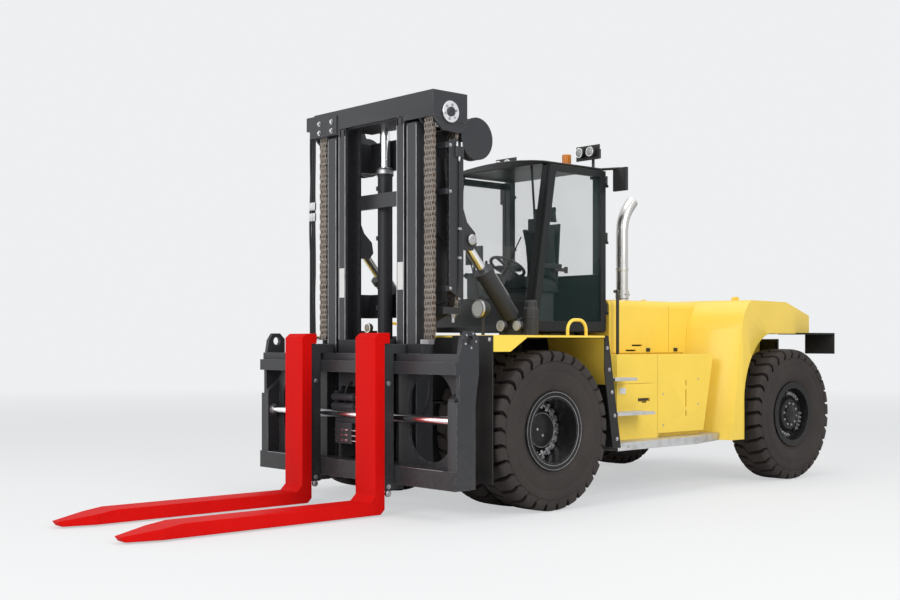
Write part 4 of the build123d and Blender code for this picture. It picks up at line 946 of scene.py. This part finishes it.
tiltLook = {"pinX": 0.48, "pinZ": 2.54, "footX": -0.22, "footZ": 1.74, "run": (0.7, 0.8), "y": 0.795,
            # how far along the barrel, and how far off its middle
            "line": [(0.2, 0.07), (0.24, 0.105), (0.45, 0.105), (0.62, 0.105), (0.66, 0.07)]}
pinX, pinZ, footX, footZ = (tiltLook[key] for key in ("pinX", "pinZ", "footX", "footZ"))
pinCaps = Form()
for sign in (1, -1):
    pinCaps.lathe((pinX, sign * 0.9, pinZ), (0, sign, 0),
                  [(0.05, 0.0), (0.05, 0.012), (0.042, 0.018), (0.012, 0.018), (0.008, 0.012)], 36)
    pinCaps.ringOf((pinX, sign * 0.917, pinZ), (0, sign, 0), 0.03, 3, 0.006, 0.005)
pinCaps.done("tiltPinCaps", "outer_mast", "boltSteel", bevel=0.001)
tankLook = {"place": (-0.225, 0.985),
            "body": [(0.072, -0.004), (0.072, 0.26), (0.06, 0.275), (0.06, 0.33), (0.05, 0.345)],
            "band": [(0.07, 0), (0.076, 0.002), (0.076, 0.02), (0.07, 0.022)]}
tank = Form()
tank.lathe((*tankLook["place"], 1.64), up, tankLook["body"], 32)
tank.lathe((*tankLook["place"], 1.8), up, tankLook["band"], 32)
tank.done("fluidTank", "chassis", "trimBlack", bevel=0.003)
for side, sign in bothSides:
    ux, uz = (part / hypot(*tiltLook["run"]) for part in tiltLook["run"])
    line = [(footX + ux * reach - uz * off, sign * tiltLook["y"], footZ + uz * reach + ux * off)
            for reach, off in tiltLook["line"]]
    piping("tiltLine." + side, [line], 0.01, "tilt_barrel_" + side, "stackSteel")
print("lamps and tilt lines fitted")


# tyres: a lathe form whose tread is cut by grooves at every pitch

tyreForm = {"lugs": 30, "depth": 0.062, "grooveShare": 0.22, "slant": 0.05, "start": 0.656,
            # radius and half width, from the bead to the tread's middle
            "section": [(0.331, 0.118), (0.352, 0.15), (0.372, 0.168), (0.398, 0.181), (0.404, 0.178),
                        (0.412, 0.184), (0.45, 0.192), (0.5, 0.1965), (0.548, 0.1985), (0.556, 0.1955),
                        (0.566, 0.1985), (0.61, 0.1975), (0.636, 0.1955), (0.643, 0.189), (0.652, 0.195),
                        (0.66, 0.1945), (0.7, 0.192), (0.727, 0.183), (0.743, 0.166), (0.748, 0.142),
                        (0.7495, 0.09), (0.75, 0.045), (0.75, 0.0)]}


def tyres(centres):
    look = tyreForm
    half = look["section"]
    profile = half + [(r, -y) for r, y in reversed(half[:-1])]
    step = 2 * pi / look["lugs"]
    share = look["grooveShare"]
    stops = [(0.0, 1.0), (share * 0.75, 1.0), (share, 0.0), (share + (1 - share) / 3, 0.0),
             (share + 2 * (1 - share) / 3, 0.0), (1.0 - share * 0.25, 0.0)]
    form = Form()
    for cx, cy in centres:
        rows = []
        for lug in range(look["lugs"]):
            for place, cut in stops:
                row = []
                for r, y in profile:
                    side = 0.5 if y < 0 else 0.0
                    reach = min(1.0, max(0.0, (r - look["start"]) / 0.02))  # grooves start at the shoulder
                    middle = min(1.0, abs(y) / 0.05)
                    turn = (lug + place + side * reach) * step + look["slant"] * (abs(y) / 0.2) * reach
                    near = r - look["depth"] * cut * reach * (0.25 + 0.75 * middle)
                    inward = y * (1.0 - 0.16 * cut * reach * (1.0 if r < 0.745 else 0.0))
                    row.append(form.spot((cx + near * cos(turn), cy + inward, wheelZ + near * sin(turn))))
                rows.append(row)
        form.bridge(rows + rows[:1])
    return form


for side, sign in bothSides:
    twins = tyres([(0.0, sign * 1.33), (0.0, sign * 0.87)])
    twins.done("driveTyres." + side, "drive_wheels_" + side, "tyreRubber", ["drive_tyres_" + side])
    single = tyres([(steerX, sign * 1.24)])
    single.done("steerTyre." + side, "steer_wheel_" + side, "tyreRubber", ["steer_tyre_" + side])
print("tyres made")


# studio

studio = {"floor": (0.8, 0.8, 0.79), "floorHalf": 400.0, "pale": 0.88, "paleTone": (0.97, 0.985, 1.0),
          "floorPale": 0.6, "fade": (7.0, 32.0), "sky": 0.5, "skyTone": (0.86, 0.88, 0.9)}
half = studio["floorHalf"]
floorMesh = bpy.data.meshes.new("studioFloor")
corners = [(-half, -half, 0.0), (half, -half, 0.0), (half, half, 0.0), (-half, half, 0.0)]
floorMesh.from_pydata(corners, [], [(0, 1, 2, 3)])
ground = Paint("studioFloor")
ground.set(Base_Color=studio["floor"], Roughness=0.7)
# what the camera sees is lifted towards a pale tone
seen = ground.add("ShaderNodeLightPath", output="Is Camera Ray")
reach = ground.add("ShaderNodeVectorMath", {"operation": "LENGTH"}, {0: ground.place()}, output=1)
share = reach.ramp(*studio["fade"], studio["floorPale"], 1.0)  # far off, the floor is the backdrop
pale = ground.add("ShaderNodeEmission", {}, {"Color": studio["paleTone"], "Strength": studio["pale"]})
ground.overlay(seen * share, pale)
floorMesh.materials.append(ground.material)
floor = placed("studioFloor", floorMesh)

softLights = {  # place, aim, size and power
    "keyLight": ((1.0, 13.0, 8.5), (-0.8, 0.0, 1.2), 8.0, 1080.0),
    "frontLight": ((13.0, 3.0, 7.0), (0.5, 0.0, 1.2), 7.0, 700.0),
    "rightLight": ((9.5, -8.5, 3.6), (0.8, 0.0, 1.8), 6.0, 260.0),
    "topLight": ((-2.0, 0.0, 11.0), (-1.0, 0.0, 0.0), 8.0, 440.0),
}
for name, (place, aim, size, power) in softLights.items():
    lamp = bpy.data.lights.new(name, "AREA")
    lamp.size = size
    lamp.energy = power
    light = placed(name, lamp)
    light.location = place
    light.rotation_euler = (Vector(aim) - Vector(place)).to_track_quat("-Z", "Y").to_euler()

sky = Paint("studioSky", bpy.data.worlds.new("studioSky"))
sky.set(Color=studio["skyTone"], Strength=studio["sky"])  # lights the truck
backdrop = sky.add("ShaderNodeBackground", {}, {"Color": studio["paleTone"], "Strength": studio["pale"]})
# the camera, metal and glass see the backdrop
seenBy = sky.add("ShaderNodeLightPath", output="Is Camera Ray")
for kind in ("Is Glossy Ray", "Is Transmission Ray"):
    seenBy = seenBy.most(sky.add("ShaderNodeLightPath", output=kind))
sky.overlay(seenBy, backdrop)
bpy.context.scene.world = sky.material
bpy.context.scene.view_settings.view_transform = "Standard"

cameraView = {"focal": 1256.7, "frame": (900, 600), "yaw": 0.8413175, "spot": (8.5129, 9.5775, 1.5636),
              "horizon": 343.5, "sensor": 36.0}
lens = bpy.data.cameras.new("photoCamera")
lens.sensor_width = cameraView["sensor"]
lens.lens = cameraView["focal"] / cameraView["frame"][0] * cameraView["sensor"]
lens.shift_y = (cameraView["horizon"] - cameraView["frame"][1] / 2) / cameraView["frame"][0]
lens.clip_end = 1000.0
camera = placed("photoCamera", lens)
camera.location = (cameraView["spot"][0] + axleX, cameraView["spot"][1], cameraView["spot"][2])
away = Vector((-cos(cameraView["yaw"]), -sin(cameraView["yaw"]), 0.0))
camera.rotation_euler = away.to_track_quat("-Z", "Y").to_euler()
bpy.context.scene.camera = camera
print("studio and camera set")
